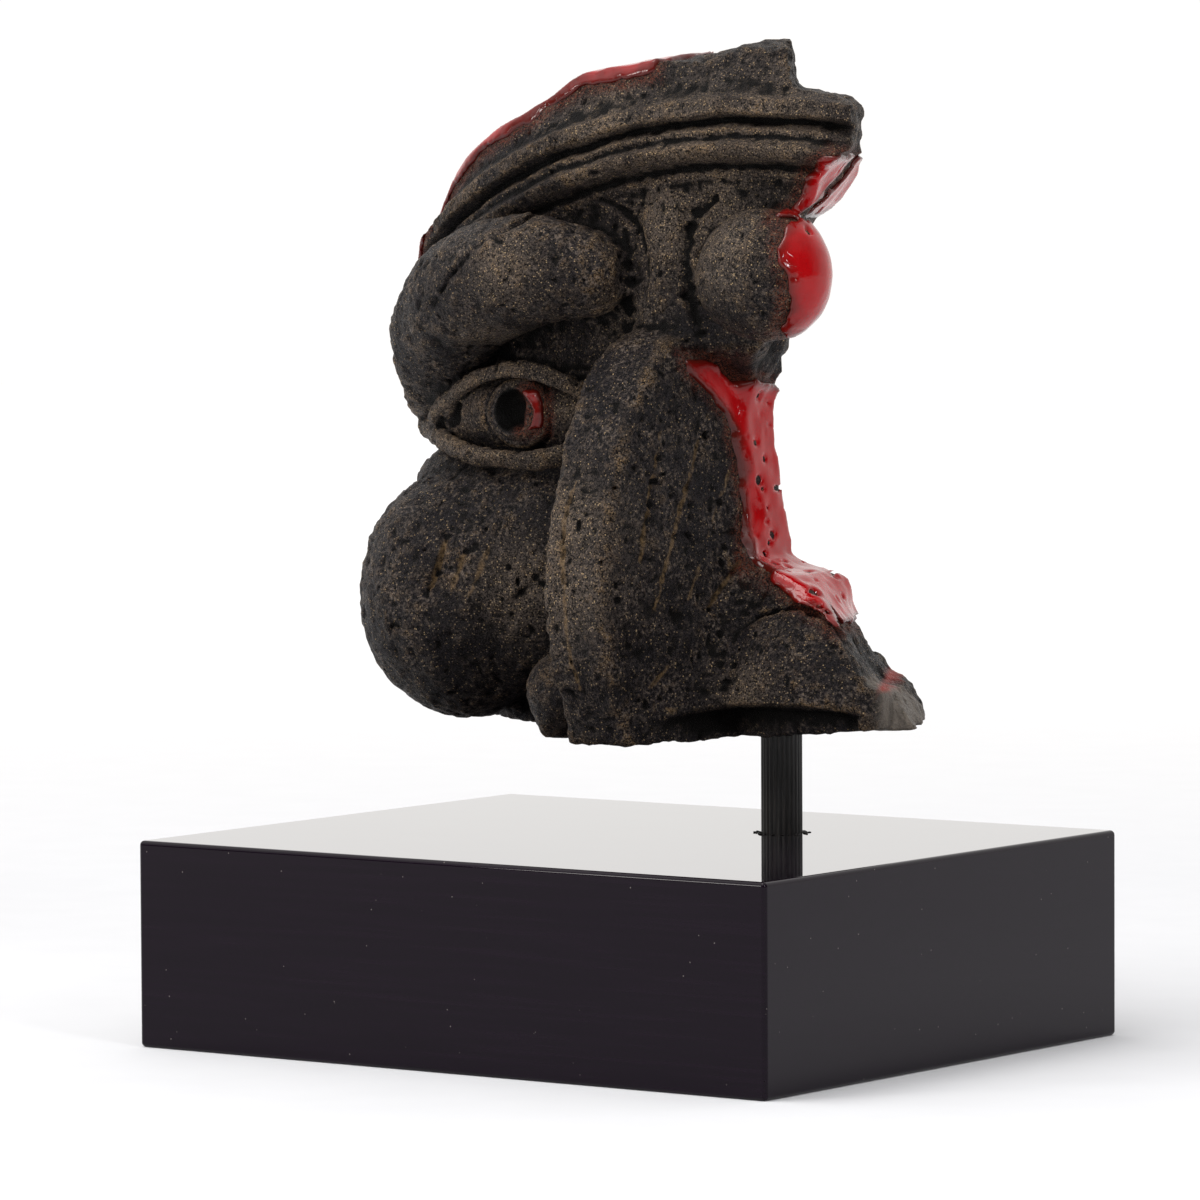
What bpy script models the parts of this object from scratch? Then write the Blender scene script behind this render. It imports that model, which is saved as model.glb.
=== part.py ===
"""Broken face fragment of fired clay on a fluted dowel and a lacquered plinth.

Run with: blender --background --python part.py
Units are metres, +Z is up, the face looks towards -Y, and the origin is the
middle of the plinth's underside. The carving is a free form, so its places are
counted in carving units, two hundredths of the fragment's own height.
"""
import bpy
import numpy as np
import openvdb

# Plinth
PLINTH_WIDTH = 0.220
PLINTH_DEPTH = 0.180
PLINTH_HEIGHT = 0.060
PLINTH_EDGE_ROUND = 0.0014
PLINTH_SOCKET_DEPTH = 0.030

# Dowel
DOWEL_DIAMETER = 0.012
DOWEL_X = 0.0334
DOWEL_Y = 0.0296
DOWEL_SHOWING = 0.032
FLUTE_COUNT = 26
FLUTE_DEPTH = 0.0004
FIT_GAP = 0.0003

# Face fragment
MASK_HEIGHT = 0.200
MASK_X = 0.010
MASK_Y = 0.0
MASK_SOCKET_DEPTH = 0.024
BOSS_WALL = 0.013
WALL_THICKNESS = 0.024
FLOOR_THICKNESS = 0.022
SKIN_CELL = 0.0020
SKIN_TRIANGLES = 8200
BORE_SIDES = 48

# One carving unit, and where the fragment's frame stands
UNIT = MASK_HEIGHT / 200
MASK_BASE_Z = PLINTH_HEIGHT + DOWEL_SHOWING - 0.003
BORE_DIAMETER = DOWEL_DIAMETER + 2 * FIT_GAP
DOWEL_BOTTOM = PLINTH_HEIGHT - PLINTH_SOCKET_DEPTH + FIT_GAP
DOWEL_TOP = MASK_BASE_Z + MASK_SOCKET_DEPTH - FIT_GAP
COLLECTION_NAME = "stone_mask"


def start_empty_scene():
    for item in list(bpy.data.objects):
        bpy.data.objects.remove(item)


def new_collection(name):
    collection = bpy.data.collections.new(name)
    bpy.context.scene.collection.children.link(collection)
    return collection


def new_material(name, colour, roughness, coat=0.0):
    material = bpy.data.materials.new(name)
    material.use_nodes = True
    shader = material.node_tree.nodes["Principled BSDF"]
    shader.inputs["Base Color"].default_value = (*colour, 1.0)
    shader.inputs["Roughness"].default_value = roughness
    shader.inputs["Metallic"].default_value = 0.0
    shader.inputs["Coat Weight"].default_value = coat
    return material


def move_to(collection, item):
    for old in list(item.users_collection):
        old.objects.unlink(item)
    collection.objects.link(item)


def add_bore(cutters, name, diameter, x, y, bottom, top):
    """A round cutter for a blind socket, kept out of the part itself."""
    bpy.ops.mesh.primitive_cylinder_add(vertices=BORE_SIDES, radius=diameter / 2, depth=top - bottom,
                                        location=(x, y, (bottom + top) / 2))
    cutter = bpy.context.object
    cutter.name = name
    cutter.hide_render = True
    cutter.display_type = "WIRE"
    move_to(cutters, cutter)
    return cutter


def cut(item, cutter):
    boolean = item.modifiers.new(cutter.name, "BOOLEAN")
    boolean.operation = "DIFFERENCE"
    boolean.solver = "EXACT"
    boolean.object = cutter


# Carving tools. Each gives a signed distance in carving units, negative inside the clay.

def join(a, b, blend):
    """Union of two forms with a soft seam."""
    share = np.clip(0.5 + 0.5 * (b - a) / blend, 0, 1)
    return b + (a - b) * share - blend * share * (1 - share)


def keep(a, b, blend):
    """What two forms have in common, with a soft edge."""
    return -join(-a, -b, blend)


def carve(a, b, blend):
    """The first form with the second one taken away."""
    return keep(a, -b, blend)


def ramp(start, end, value):
    share = np.clip((value - start) / (end - start), 0, 1)
    return share * share * (3 - 2 * share)


def profile(value, points):
    """A smooth curve through a few (place, height) points, without overshoot."""
    places = np.array([point[0] for point in points], float)
    heights = np.array([point[1] for point in points], float)
    step = np.diff(places)
    slope = np.diff(heights) / step
    tangent = np.zeros_like(places)
    same_way = slope[:-1] * slope[1:] > 0
    harmonic = 2 * slope[:-1] * slope[1:] / (slope[:-1] + slope[1:] + 1e-9)
    tangent[1:-1] = np.where(same_way, harmonic, 0)
    tangent[0] = slope[0]
    tangent[-1] = slope[-1]
    i = np.clip(np.searchsorted(places, value) - 1, 0, len(step) - 1)
    t = np.clip((value - places[i]) / step[i], 0, 1)
    start = (2 * t**3 - 3 * t**2 + 1) * heights[i] + (t**3 - 2 * t**2 + t) * step[i] * tangent[i]
    end = (3 * t**2 - 2 * t**3) * heights[i + 1] + (t**3 - t**2) * step[i] * tangent[i + 1]
    return start + end


def egg(x, y, z, centre, radii, tilt=0.0):
    """An ellipsoid, tilted by some degrees as seen from the front."""
    dx = x - centre[0]
    dy = (y - centre[1]) / radii[1]
    dz = z - centre[2]
    turn = np.radians(tilt)
    across = (dx * np.cos(turn) + dz * np.sin(turn)) / radii[0]
    along = (dz * np.cos(turn) - dx * np.sin(turn)) / radii[2]
    reach = np.sqrt(across**2 + dy**2 + along**2) + 1e-6
    slope = np.sqrt((across / radii[0])**2 + (dy / radii[1])**2 + (along / radii[2])**2) + 1e-6
    return reach * (reach - 1) / slope


def smooth_path(points, steps=5):
    """Catmull-Rom points through (x, y, z, radius) points."""
    points = np.array(points, float)
    last = len(points) - 1
    path = []
    for i in range(last):
        before = points[max(i - 1, 0)]
        a = points[i]
        b = points[i + 1]
        after = points[min(i + 2, last)]
        for t in np.arange(steps) / steps:
            curve = (2 * before - 5 * a + 4 * b - after) * t**2 + (3 * a - before - 3 * b + after) * t**3
            path.append(a + 0.5 * ((b - before) * t + curve))
    path.append(points[last])
    return path


def roll(x, y, z, points, blend):
    """A roll of clay along a path of (x, y, z, radius) points."""
    path = smooth_path(points)
    form = None
    for a, b in zip(path[:-1], path[1:]):
        way = b[:3] - a[:3]
        t = ((x - a[0]) * way[0] + (y - a[1]) * way[1] + (z - a[2]) * way[2]) / way.dot(way)
        t = np.clip(t, 0, 1)
        far = np.sqrt((x - a[0] - way[0] * t)**2 + (y - a[1] - way[1] * t)**2 + (z - a[2] - way[2] * t)**2)
        piece = far - (a[3] + (b[3] - a[3]) * t)
        form = piece if form is None else join(form, piece, blend)
    return form


def lumps(x, y, z, size, seed):
    """Smooth noise from -1 to 1 on a random lattice, the same on every run."""
    count = 32
    lattice = np.random.RandomState(seed).uniform(-1, 1, (count, count, count))
    cells = [value / size + 1000.0 for value in (x, y, z)]
    low = [np.floor(cell).astype(int) for cell in cells]
    share = [ramp(0, 1, cell - floor) for cell, floor in zip(cells, low)]
    total = 0.0
    for corner in range(8):
        side = [corner & 1, corner >> 1 & 1, corner >> 2 & 1]
        index = tuple((floor + step) % count for floor, step in zip(low, side))
        weight = 1.0
        for step, part in zip(side, share):
            weight = weight * (part if step else 1 - part)
        total = total + lattice[index] * weight
    return total


# The face, from its wall outwards

def forehead_wall(x, y, z):
    """The curved wall, with the stepped bands that arch over the brow."""
    lean = 10 * ramp(166, 211, z)
    top_band = 185 - 0.00236 * (x - 30)**2
    below = top_band - z
    bands = profile(below, [(-14, -1), (-3, 1), (-0.5, 3), (1, 6), (5, 6), (7.2, 0.5), (8, 1), (10, 5),
                            (11.8, 4), (14.5, 8), (17.5, 6.5), (20.5, 0.5), (22.5, 2), (25, 0.5), (32, 0)])
    half_width = 116
    half_depth = 76
    squareness = 2.6
    across = np.abs(x) / half_width
    back = np.abs(y - 80 - lean) / half_depth
    reach = (across**squareness + back**squareness + 1e-9)**(1 / squareness)
    slope_x = across**(squareness - 1) / half_width
    slope_y = back**(squareness - 1) / half_depth
    slope = np.sqrt(slope_x**2 + slope_y**2) / reach**(squareness - 1) + 1e-6
    wall = (reach - 1) / slope - bands
    behind_cheek = 6 * ramp(86, 61, z)
    behind_nose = 12 * ramp(-15, 2, x) * ramp(114, 101, z)
    return wall + behind_cheek + behind_nose


def brow(x, y, z, rough):
    roll_form = roll(x, y, z, [(-20, -4, 132, 12.5), (-40, -7, 134, 15.5), (-65, -1, 126, 16),
                               (-84, 12, 113, 14.5), (-93, 22, 101, 13.5)], 2)
    broken_end = -x - 102 - 0.3 * (y - 20)
    return keep(roll_form, broken_end * 0.95 + rough * 0.7, 2)


def nose(x, y, z):
    """A tall wedge: a flat front strip, straight sides, and a base that flares to the right."""
    ridge = profile(z, [(-4, -28), (5, -30.5), (15, -34.5), (25, -38), (42, -39.8), (53, -39), (77, -33.5),
                        (98, -23), (112, -11), (121, 2), (131, 8)])
    half = 10.8 + np.maximum(y - ridge, 0) * 0.19
    flare = 20 * ramp(61, 6, z) * ramp(-35, 25, y)
    side = np.where(x > 0, x - half - flare, -x - half) * 0.97
    form = keep(side, ridge - 1 - y, 8)
    form = keep(form, z - 119, 9)
    return keep(form, y - 40, 4)


def add_glabella(form, x, y, z):
    """The upright ridge between the brows, with a furrow at each side."""
    form = join(form, egg(x, y, z, (2, 4, 133), (11, 5, 26)), 4)
    for side in (-7, 9):
        furrow = roll(x, y, z, [(side * 1.2, -2, 151, 2), (side, -3, 133, 2.8), (side * 0.8, -5, 119, 2)], 1)
        form = carve(form, furrow, 2.5)
    return form


def add_nostril_side(form, x, y, z):
    """The nostril's wing, the ledge above it and the stump of the lost cheek."""
    form = join(form, egg(x, y, z, (36, 22, 27), (34, 18, 30), tilt=-25), 10)
    form = join(form, egg(x, y, z, (46, 6, 11), (26, 17, 23)), 5)
    crease = roll(x, y, z, [(22, -8, 24, 0.8), (30, -2, 32, 1.6), (45, 4, 38, 2), (58, 10, 34, 2), (69, 8, 20, 1.4)], 0.5)
    form = carve(form, crease, 1.5)
    return join(form, egg(x, y, z, (70, 24, 3), (16, 13, 17)), 3)


def add_cheek(form, x, y, z, rough):
    form = join(form, egg(x, y, z, (-73, 6, 39), (32, 30, 36.5)), 5)
    form = join(form, egg(x, y, z, (-73, 16, 73), (24, 14, 13), tilt=10), 5)
    form = join(form, egg(x, y, z, (-44, 8, 47), (26, 22, 32)), 14)
    return join(form, egg(x, y, z, (-21, -13, 12), (12, 14, 14)) + rough * 0.6, 3)


def add_eye(form, x, y, z, rough):
    """Socket, eyeball, two lids as rolls of clay, iris and a drilled pupil."""
    form = carve(form, egg(x, y, z, (-52, -9, 95), (36, 12, 17)), 5)
    form = join(form, egg(x, y, z, (-51, 16, 93), (38, 20, 16)), 2)
    upper_lid = [(-86, 10, 89, 2.4), (-74, 1, 99, 2.8), (-59, -5, 105.5, 3), (-42, -6, 106.5, 3),
                 (-25, -1, 101, 2.8), (-15, 5, 92, 2.4)]
    lower_lid = [(-86, 10, 89, 2.4), (-73, 1, 84, 3), (-57, -5, 80.5, 3.2), (-40, -5, 81, 3.2),
                 (-24, 0, 84, 2.8), (-15, 5, 91, 2.4)]
    for lid in (upper_lid, lower_lid):
        form = join(form, roll(x, y, z, lid, 0.5), 2)
    form = join(form, egg(x, y, z, (-47, -4, 93.5), (12, 4, 10.5)), 1)
    return carve(form, egg(x, y, z, (-47, -7, 93.5), (8, 8, 7)) + rough * 0.5, 1)


def hollow_back(x, y, z):
    """The open back, a wall's thickness behind the face and above the floor."""
    wall = WALL_THICKNESS / UNIT
    floor = FLOOR_THICKNESS / UNIT
    bowl = egg(x, y, z, (-6, 84, 104), (118 - wall, 80 - wall, 150))
    return keep(bowl, floor - z, 10)


def add_boss(form, x, y, z):
    """Thick clay round the dowel, wherever the dowel stands."""
    radius = (DOWEL_DIAMETER / 2 + BOSS_WALL) / UNIT
    height = (MASK_SOCKET_DEPTH + BOSS_WALL) / UNIT
    far = np.hypot(x - (DOWEL_X - MASK_X) / UNIT, y - (DOWEL_Y - MASK_Y) / UNIT)
    post = keep(far - radius, z - height, 6)
    return join(form, post, 6)


def break_off(form, x, y, z, rough):
    """The broken outline: right side, top, left side and back."""
    right = profile(z, [(-1, 85), (6, 82), (16, 75), (18.5, 67), (20.5, 62), (31, 56), (38, 51), (44.5, 45),
                        (47, 40), (49, 33), (53, 28), (76, 25), (96, 23), (107, 28), (117, 35), (127, 40),
                        (147, 44), (157, 58), (163, 62), (181, 63), (184.5, 58), (187, 42), (201, 38)])
    slant = profile(z, [(-1, 0.6), (33, 0.5), (49, 0.15), (61, 0.05), (101, 0.05), (123, 0.45),
                        (161, 0.6), (201, 0.6)])
    form = keep(form, (x + slant * (y - 10) - right) * 0.9 + rough * 0.8, 2)
    form = join(form, egg(x, y, z, (40, -3, 134), (20, 17, 19)), 2.5)
    top = profile(x, [(-122, 109), (-114, 123), (-106, 137), (-95, 151), (-85, 162), (-70, 172), (-48, 182),
                      (-31, 191), (-13, 193.5), (8, 195.5), (23, 198), (32, 197), (50, 195)])
    form = keep(form, (z - top - 0.1 * np.clip(y - 10, -10, 30)) * 0.9 + rough * 0.7, 1.5)
    form = keep(form, -x - 118.5 + rough * 0.5, 2)
    form = keep(form, y - 60 + rough, 2)
    underside = 0.075 * np.maximum(x - 10, 0) + 1.5 * ramp(-30, -70, x)
    return keep(form, underside - z, 1.5)


def face_form(x, y, z):
    rough = 1.6 * lumps(x, y, z, 9, 3) + 0.8 * lumps(x, y, z, 4, 5)
    form = forehead_wall(x, y, z)
    form = join(form, brow(x, y, z, rough), 4)
    form = join(form, nose(x, y, z), 5)
    form = add_glabella(form, x, y, z)
    form = add_nostril_side(form, x, y, z)
    form = add_cheek(form, x, y, z, rough)
    form = add_eye(form, x, y, z, rough)
    form = carve(form, hollow_back(x, y, z), 3)
    form = add_boss(form, x, y, z)
    return break_off(form, x, y, z, rough)


def skin(form_of, low, high, cell):
    """Skin a form with OpenVDB, the library behind Blender's Remesh; places in carving units.

    A coarse pass finds the cells near the surface, and only those are worked out finely.
    """
    coarse = 4
    size = [int(np.ceil((end - start) / (coarse * cell))) + 1 for start, end in zip(low, high)]
    axes = [start + coarse * cell * (np.arange(count) + 0.5) for start, count in zip(low, size)]
    distance = form_of(*np.meshgrid(*axes, indexing="ij"))
    close = np.abs(distance) < coarse * cell
    for axis in range(3):
        for step in (-2, -1, 1, 2):
            close |= np.roll(distance, step, axis) * distance < 0
    for axis in range(3):
        close = close | np.roll(close, 1, axis) | np.roll(close, -1, axis)
    for axis in range(3):
        distance = np.repeat(distance, coarse, axis=axis)
        close = np.repeat(close, coarse, axis=axis)
    near = np.nonzero(close)
    places = [start + cell * (index + 0.5) for start, index in zip(low, near)]
    distance[near] = form_of(*places)
    band = 3 * cell
    grid = openvdb.FloatGrid(band)
    grid.copyFromArray(np.clip(distance, -band, band).astype(np.float32))
    points, triangles, quads = grid.convertToPolygons(0.0, 0.0)
    points = (points + 0.5) * cell + np.array(low)
    faces = [tuple(face[::-1]) for face in quads.tolist() + triangles.tolist()]
    return points, faces


def make_plinth(parts, cutters):
    """A solid block with softly rounded edges and a blind socket in its top."""
    bpy.ops.mesh.primitive_cube_add(size=1, location=(0, 0, PLINTH_HEIGHT / 2))
    plinth = bpy.context.object
    plinth.name = "plinth"
    plinth.scale = (PLINTH_WIDTH, PLINTH_DEPTH, PLINTH_HEIGHT)
    bpy.ops.object.transform_apply(location=False, rotation=False, scale=True)
    bevel = plinth.modifiers.new("rounded edges", "BEVEL")
    bevel.width = PLINTH_EDGE_ROUND
    bevel.segments = 3
    socket = add_bore(cutters, "plinth_socket", BORE_DIAMETER, DOWEL_X, DOWEL_Y,
                      PLINTH_HEIGHT - PLINTH_SOCKET_DEPTH, PLINTH_HEIGHT + DOWEL_SHOWING / 2)
    cut(plinth, socket)
    plinth.data.materials.append(new_material("black lacquer", (0.008, 0.007, 0.009), 0.18, coat=0.6))
    move_to(parts, plinth)


def make_dowel(parts):
    """A fluted round dowel: every second corner of a prism is drawn in by the flute's depth."""
    bpy.ops.mesh.primitive_cylinder_add(vertices=2 * FLUTE_COUNT, radius=DOWEL_DIAMETER / 2,
                                        depth=DOWEL_TOP - DOWEL_BOTTOM,
                                        location=(DOWEL_X, DOWEL_Y, (DOWEL_TOP + DOWEL_BOTTOM) / 2))
    dowel = bpy.context.object
    dowel.name = "dowel"
    root = 1 - FLUTE_DEPTH / (DOWEL_DIAMETER / 2)
    for vertex in dowel.data.vertices:
        angle = np.arctan2(vertex.co.y, vertex.co.x)
        corner = round(angle / (np.pi / FLUTE_COUNT))
        if corner % 2:
            vertex.co.x *= root
            vertex.co.y *= root
    dowel.data.materials.append(new_material("black painted wood", (0.012, 0.011, 0.012), 0.45))
    move_to(parts, dowel)


def make_face(parts, cutters):
    """The broken face, skinned, thinned to its triangle budget and bored for the dowel."""
    low = (-122, -50, -5)
    high = (92, 66, 206)
    points, faces = skin(face_form, low, high, SKIN_CELL / UNIT)
    mesh = bpy.data.meshes.new("face_fragment")
    mesh.from_pydata((points * UNIT).tolist(), [], faces)
    mesh.update()
    face = bpy.data.objects.new("face_fragment", mesh)
    face.location = (MASK_X, MASK_Y, MASK_BASE_Z)
    parts.objects.link(face)
    thin = face.modifiers.new("triangle budget", "DECIMATE")
    thin.ratio = min(1.0, SKIN_TRIANGLES / (2 * len(faces)))
    socket = add_bore(cutters, "face_socket", BORE_DIAMETER, DOWEL_X, DOWEL_Y,
                      MASK_BASE_Z - DOWEL_SHOWING / 2, MASK_BASE_Z + MASK_SOCKET_DEPTH)
    cut(face, socket)
    mesh.materials.append(new_material("fired black clay", (0.020, 0.018, 0.016), 0.55))


start_empty_scene()
part_collection = new_collection(COLLECTION_NAME)
cutter_collection = new_collection("cutters")
make_plinth(part_collection, cutter_collection)
make_dowel(part_collection)
make_face(part_collection, cutter_collection)
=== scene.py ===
# %% [markdown]
# # A broken face of black clay, on a dowel and a lacquered block
# The object is a piece of a hand-built mask: black, grainy fired clay with crimson glaze on its broken
# edges. It stands on one fluted dowel in a block of black lacquer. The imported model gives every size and
# place, and this script gives the finish. Nothing is moved or resized here, so the frame is loaded first.

# %% Load the frame
from functools import reduce
import bpy
import numpy as np
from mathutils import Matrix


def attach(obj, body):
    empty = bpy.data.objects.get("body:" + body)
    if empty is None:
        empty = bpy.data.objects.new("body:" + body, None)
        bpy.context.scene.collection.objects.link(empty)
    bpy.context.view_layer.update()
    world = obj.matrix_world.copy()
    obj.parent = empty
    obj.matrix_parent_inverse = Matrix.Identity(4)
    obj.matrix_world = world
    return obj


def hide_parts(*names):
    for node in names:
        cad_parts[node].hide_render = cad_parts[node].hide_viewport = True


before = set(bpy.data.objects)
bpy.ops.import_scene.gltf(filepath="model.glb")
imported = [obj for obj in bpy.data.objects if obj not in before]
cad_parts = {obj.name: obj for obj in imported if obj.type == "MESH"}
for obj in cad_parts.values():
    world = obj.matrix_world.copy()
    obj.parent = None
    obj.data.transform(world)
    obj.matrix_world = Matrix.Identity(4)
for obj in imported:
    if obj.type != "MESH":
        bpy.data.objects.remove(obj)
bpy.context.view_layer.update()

import openvdb
from mathutils import Matrix, Vector

# %% [markdown]
# ## The camera
# A product photo is taken from far away with a long lens, so that parallel edges stay nearly parallel.
# The camera looks down on the block by a few degrees, across its front right corner. It could be aimed
# with a tracking constraint, but three plain direction vectors hold the view exactly.

# %% Camera
CAMERA_PLACE = Vector((1.2735, -1.7719, 0.2689))
CAMERA_RIGHT = Vector((0.81004235, 0.58634888, -0.00513558))
CAMERA_UP = Vector((-0.03353179, 0.0550646, 0.99791959))
CAMERA_LENS = 226.7

camera = bpy.data.objects.new("camera", bpy.data.cameras.new("camera"))
bpy.context.scene.collection.objects.link(camera)
camera.data.lens = CAMERA_LENS
camera.data.sensor_width = 36
axes = Matrix((CAMERA_RIGHT, CAMERA_UP, CAMERA_RIGHT.cross(CAMERA_UP))).transposed()
camera.matrix_world = Matrix.Translation(CAMERA_PLACE) @ axes.to_4x4()
bpy.context.scene.camera = camera
print("Camera distance in metres:", round((CAMERA_PLACE - Vector((0, 0, 0.15))).length, 2))

# %% [markdown]
# ## Helpers for nodes
# Hex colours are written as a screen shows them, but shaders add light in linear numbers, so one function
# turns them. Another adds a node, sets it and links it, which keeps each material readable as a recipe.

# %% Colours and nodes
def linear(hex_colour):
    """A hex colour as the linear colour that shaders count in."""
    parts = [int(hex_colour[i:i + 2], 16) / 255 for i in (1, 3, 5)]
    return (*[part / 12.92 if part <= 0.04045 else ((part + 0.055) / 1.055)**2.4 for part in parts], 1.0)


def add(tree, kind, settings=(), inputs=()):
    """Add one node; an input is a value, or the output of another node to link."""
    node = tree.nodes.new(kind)
    for name, value in dict(settings).items():
        setattr(node, name, value)
    for name, value in dict(inputs).items():
        if isinstance(value, bpy.types.NodeSocket):
            tree.links.new(value, node.inputs[name])
        else:
            node.inputs[name].default_value = value
    return node


print("Mid grey #808080 is", round(linear("#808080")[0], 3), "in linear light")

# %% [markdown]
# ## The studio
# The photo was taken before a white backdrop, in a darker room: black things stay black where they mirror
# the room, and turn white where they mirror the backdrop. So the world is white behind the object and
# overhead, and dim on the camera's side. Three softboxes and a broad ceiling light shape the clay, and give
# the glaze something to mirror. The floor is pale paper, white far behind the object; near the object it is
# grey, a painted shade that darkens what the lacquer mirrors.

# %% World
BEHIND = (-0.587, 0.810, 0.0)
ROOM_LIGHT = 0.1
BACKDROP_LIGHT = 1.04

world = bpy.data.worlds.new("white tent")
bpy.context.scene.world = world
world.use_nodes = True
tent = world.node_tree
tent.nodes.clear()
direction = add(tent, "ShaderNodeTexCoord").outputs["Generated"]
behind = add(tent, "ShaderNodeVectorMath", {"operation": "DOT_PRODUCT"},
             {0: direction, 1: BEHIND}).outputs["Value"]
height = add(tent, "ShaderNodeSeparateXYZ", inputs={0: direction}).outputs["Z"]
backdrop = add(tent, "ShaderNodeMapRange",
               inputs={0: behind, 1: -0.3, 2: 0.4, 3: ROOM_LIGHT, 4: BACKDROP_LIGHT}).outputs[0]
ceiling = add(tent, "ShaderNodeMapRange",
              inputs={0: height, 1: 0.4, 2: 0.85, 3: 0.0, 4: BACKDROP_LIGHT}).outputs[0]
whiteness = add(tent, "ShaderNodeMath", {"operation": "MAXIMUM"}, {0: backdrop, 1: ceiling}).outputs[0]
tent_colour = add(tent, "ShaderNodeMix", {"data_type": "RGBA", "clamp_factor": False},
                  {0: whiteness, 6: linear("#000000"), 7: linear("#FFFDFB")}).outputs[2]
tent_light = add(tent, "ShaderNodeBackground", inputs={"Color": tent_colour, "Strength": 1.0})
add(tent, "ShaderNodeOutputWorld", inputs={"Surface": tent_light.outputs[0]})
bpy.context.scene.view_settings.view_transform = "Standard"
print("The backdrop is", round(BACKDROP_LIGHT / ROOM_LIGHT, 1), "times as bright as the room")


# %% Soft lamps
def soft_lamp(name, place, target, width, power, colour):
    """A square softbox in metres and watts, aimed at a target."""
    lamp = bpy.data.objects.new(name, bpy.data.lights.new(name, "AREA"))
    lamp.data.shape = "SQUARE"
    lamp.data.size = width
    lamp.data.energy = power
    lamp.data.color = linear(colour)[:3]
    lamp.location = place
    lamp.rotation_euler = (Vector(target) - Vector(place)).to_track_quat("-Z", "Y").to_euler()
    bpy.context.scene.collection.objects.link(lamp)
    print(name, "shines with", power, "watts")


FACE_MIDDLE = (0, 0, 0.18)
soft_lamp("top softbox", (-0.2, -0.3, 1.1), FACE_MIDDLE, 0.4, 3.5, "#FFFDFA")
soft_lamp("left softbox", (-0.75, -1.3, 0.55), FACE_MIDDLE, 0.3, 5, "#FFFCF8")
soft_lamp("right softbox", (1.28, -0.54, 0.69), FACE_MIDDLE, 0.2, 5, "#FDFDFF")

SUN_HEIGHT = 52
SUN_FROM_LEFT = 25
sky_lamp = bpy.data.objects.new("ceiling light", bpy.data.lights.new("ceiling light", "SUN"))
sky_lamp.data.energy = 1.2
sky_lamp.data.angle = np.radians(75)
sky_lamp.rotation_euler = (np.radians(90 - SUN_HEIGHT), 0, -np.radians(SUN_FROM_LEFT))
bpy.context.scene.collection.objects.link(sky_lamp)
print("The ceiling light stands", SUN_HEIGHT, "degrees high")

# %% Floor
FLOOR_SIDE = 8.0
PAPER_MOTTLE = 0.025
PAINTED_SHADE_UP_TO = 0.5
PAINTED_SHADE_ENDS_AT = 2.0

floor_finish = bpy.data.materials.new("pale studio paper with painted shade")
floor_finish.use_nodes = True
paper = floor_finish.node_tree
paper_place = add(paper, "ShaderNodeTexCoord").outputs["Object"]
paper_fibre = add(paper, "ShaderNodeTexNoise",
                  inputs={"Vector": paper_place, "Scale": 1 / PAPER_MOTTLE, "Detail": 4.0})
# Painted shade: the paper is grey near the object, so the lacquer mirrors a darker floor; the noise is the
# paper's own mottle.
near_paper = add(paper, "ShaderNodeMix", {"data_type": "RGBA"},
                 {0: paper_fibre.outputs[0], 6: linear("#D8D9DC"), 7: linear("#DDDEE1")})
from_middle = add(paper, "ShaderNodeVectorMath", {"operation": "LENGTH"}, {0: paper_place}).outputs["Value"]
# The painted shade fades into white paper between these two distances.
far_off = add(paper, "ShaderNodeMapRange", inputs={0: from_middle, 1: PAINTED_SHADE_UP_TO, 2: PAINTED_SHADE_ENDS_AT}).outputs[0]
paper_colour = add(paper, "ShaderNodeMix", {"data_type": "RGBA"},
                   {0: far_off, 6: near_paper.outputs[2], 7: linear("#FFFFFF")})
paper.links.new(paper_colour.outputs[2], paper.nodes["Principled BSDF"].inputs["Base Color"])
paper.nodes["Principled BSDF"].inputs["Roughness"].default_value = 0.9
paper.nodes["Principled BSDF"].inputs["Specular IOR Level"].default_value = 0.1

half_floor = FLOOR_SIDE / 2
floor_mesh = bpy.data.meshes.new("floor")
floor_mesh.from_pydata([(-half_floor, -half_floor, 0), (half_floor, -half_floor, 0),
                        (half_floor, half_floor, 0), (-half_floor, half_floor, 0)], [], [(0, 1, 2, 3)])
floor_mesh.materials.append(floor_finish)
floor = bpy.data.objects.new("floor", floor_mesh)
bpy.context.scene.collection.objects.link(floor)
print("Floor side in metres:", FLOOR_SIDE)

# %% [markdown]
# ## Working clay with distances
# The face was modelled by hand: rolls and pellets of soft clay, pressed on and smoothed in. A mesh could be
# sculpted the same way, but a script can say it more plainly. Each form is a function that gives the distance
# to its surface, negative inside. Forms then join with a soft seam, as wet clay does, or carve each other.
# All places are in millimetres from the fragment's own foot, with the face looking towards -Y.

# %% Clay tools
FOOT = np.array([0.010, 0.0, 0.089])
MM = 0.001


def join(a, b, blend):
    """Two forms pressed together with a soft seam."""
    share = np.clip(0.5 + 0.5 * (b - a) / blend, 0, 1)
    return b + (a - b) * share - blend * share * (1 - share)


def keep(a, b, blend):
    """What two forms have in common, with a soft edge."""
    return -join(-a, -b, blend)


def carve(a, b, blend):
    """The first form with the second one taken away."""
    return keep(a, -b, blend)


def ramp(start, end, value):
    """0 at the start and 1 at the end, with a soft slope between."""
    share = np.clip((value - start) / (end - start), 0, 1)
    return share * share * (3 - 2 * share)


print("Two forms 1 mm deep join to", join(np.array(-1.0), np.array(-1.0), 4), "mm")


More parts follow.
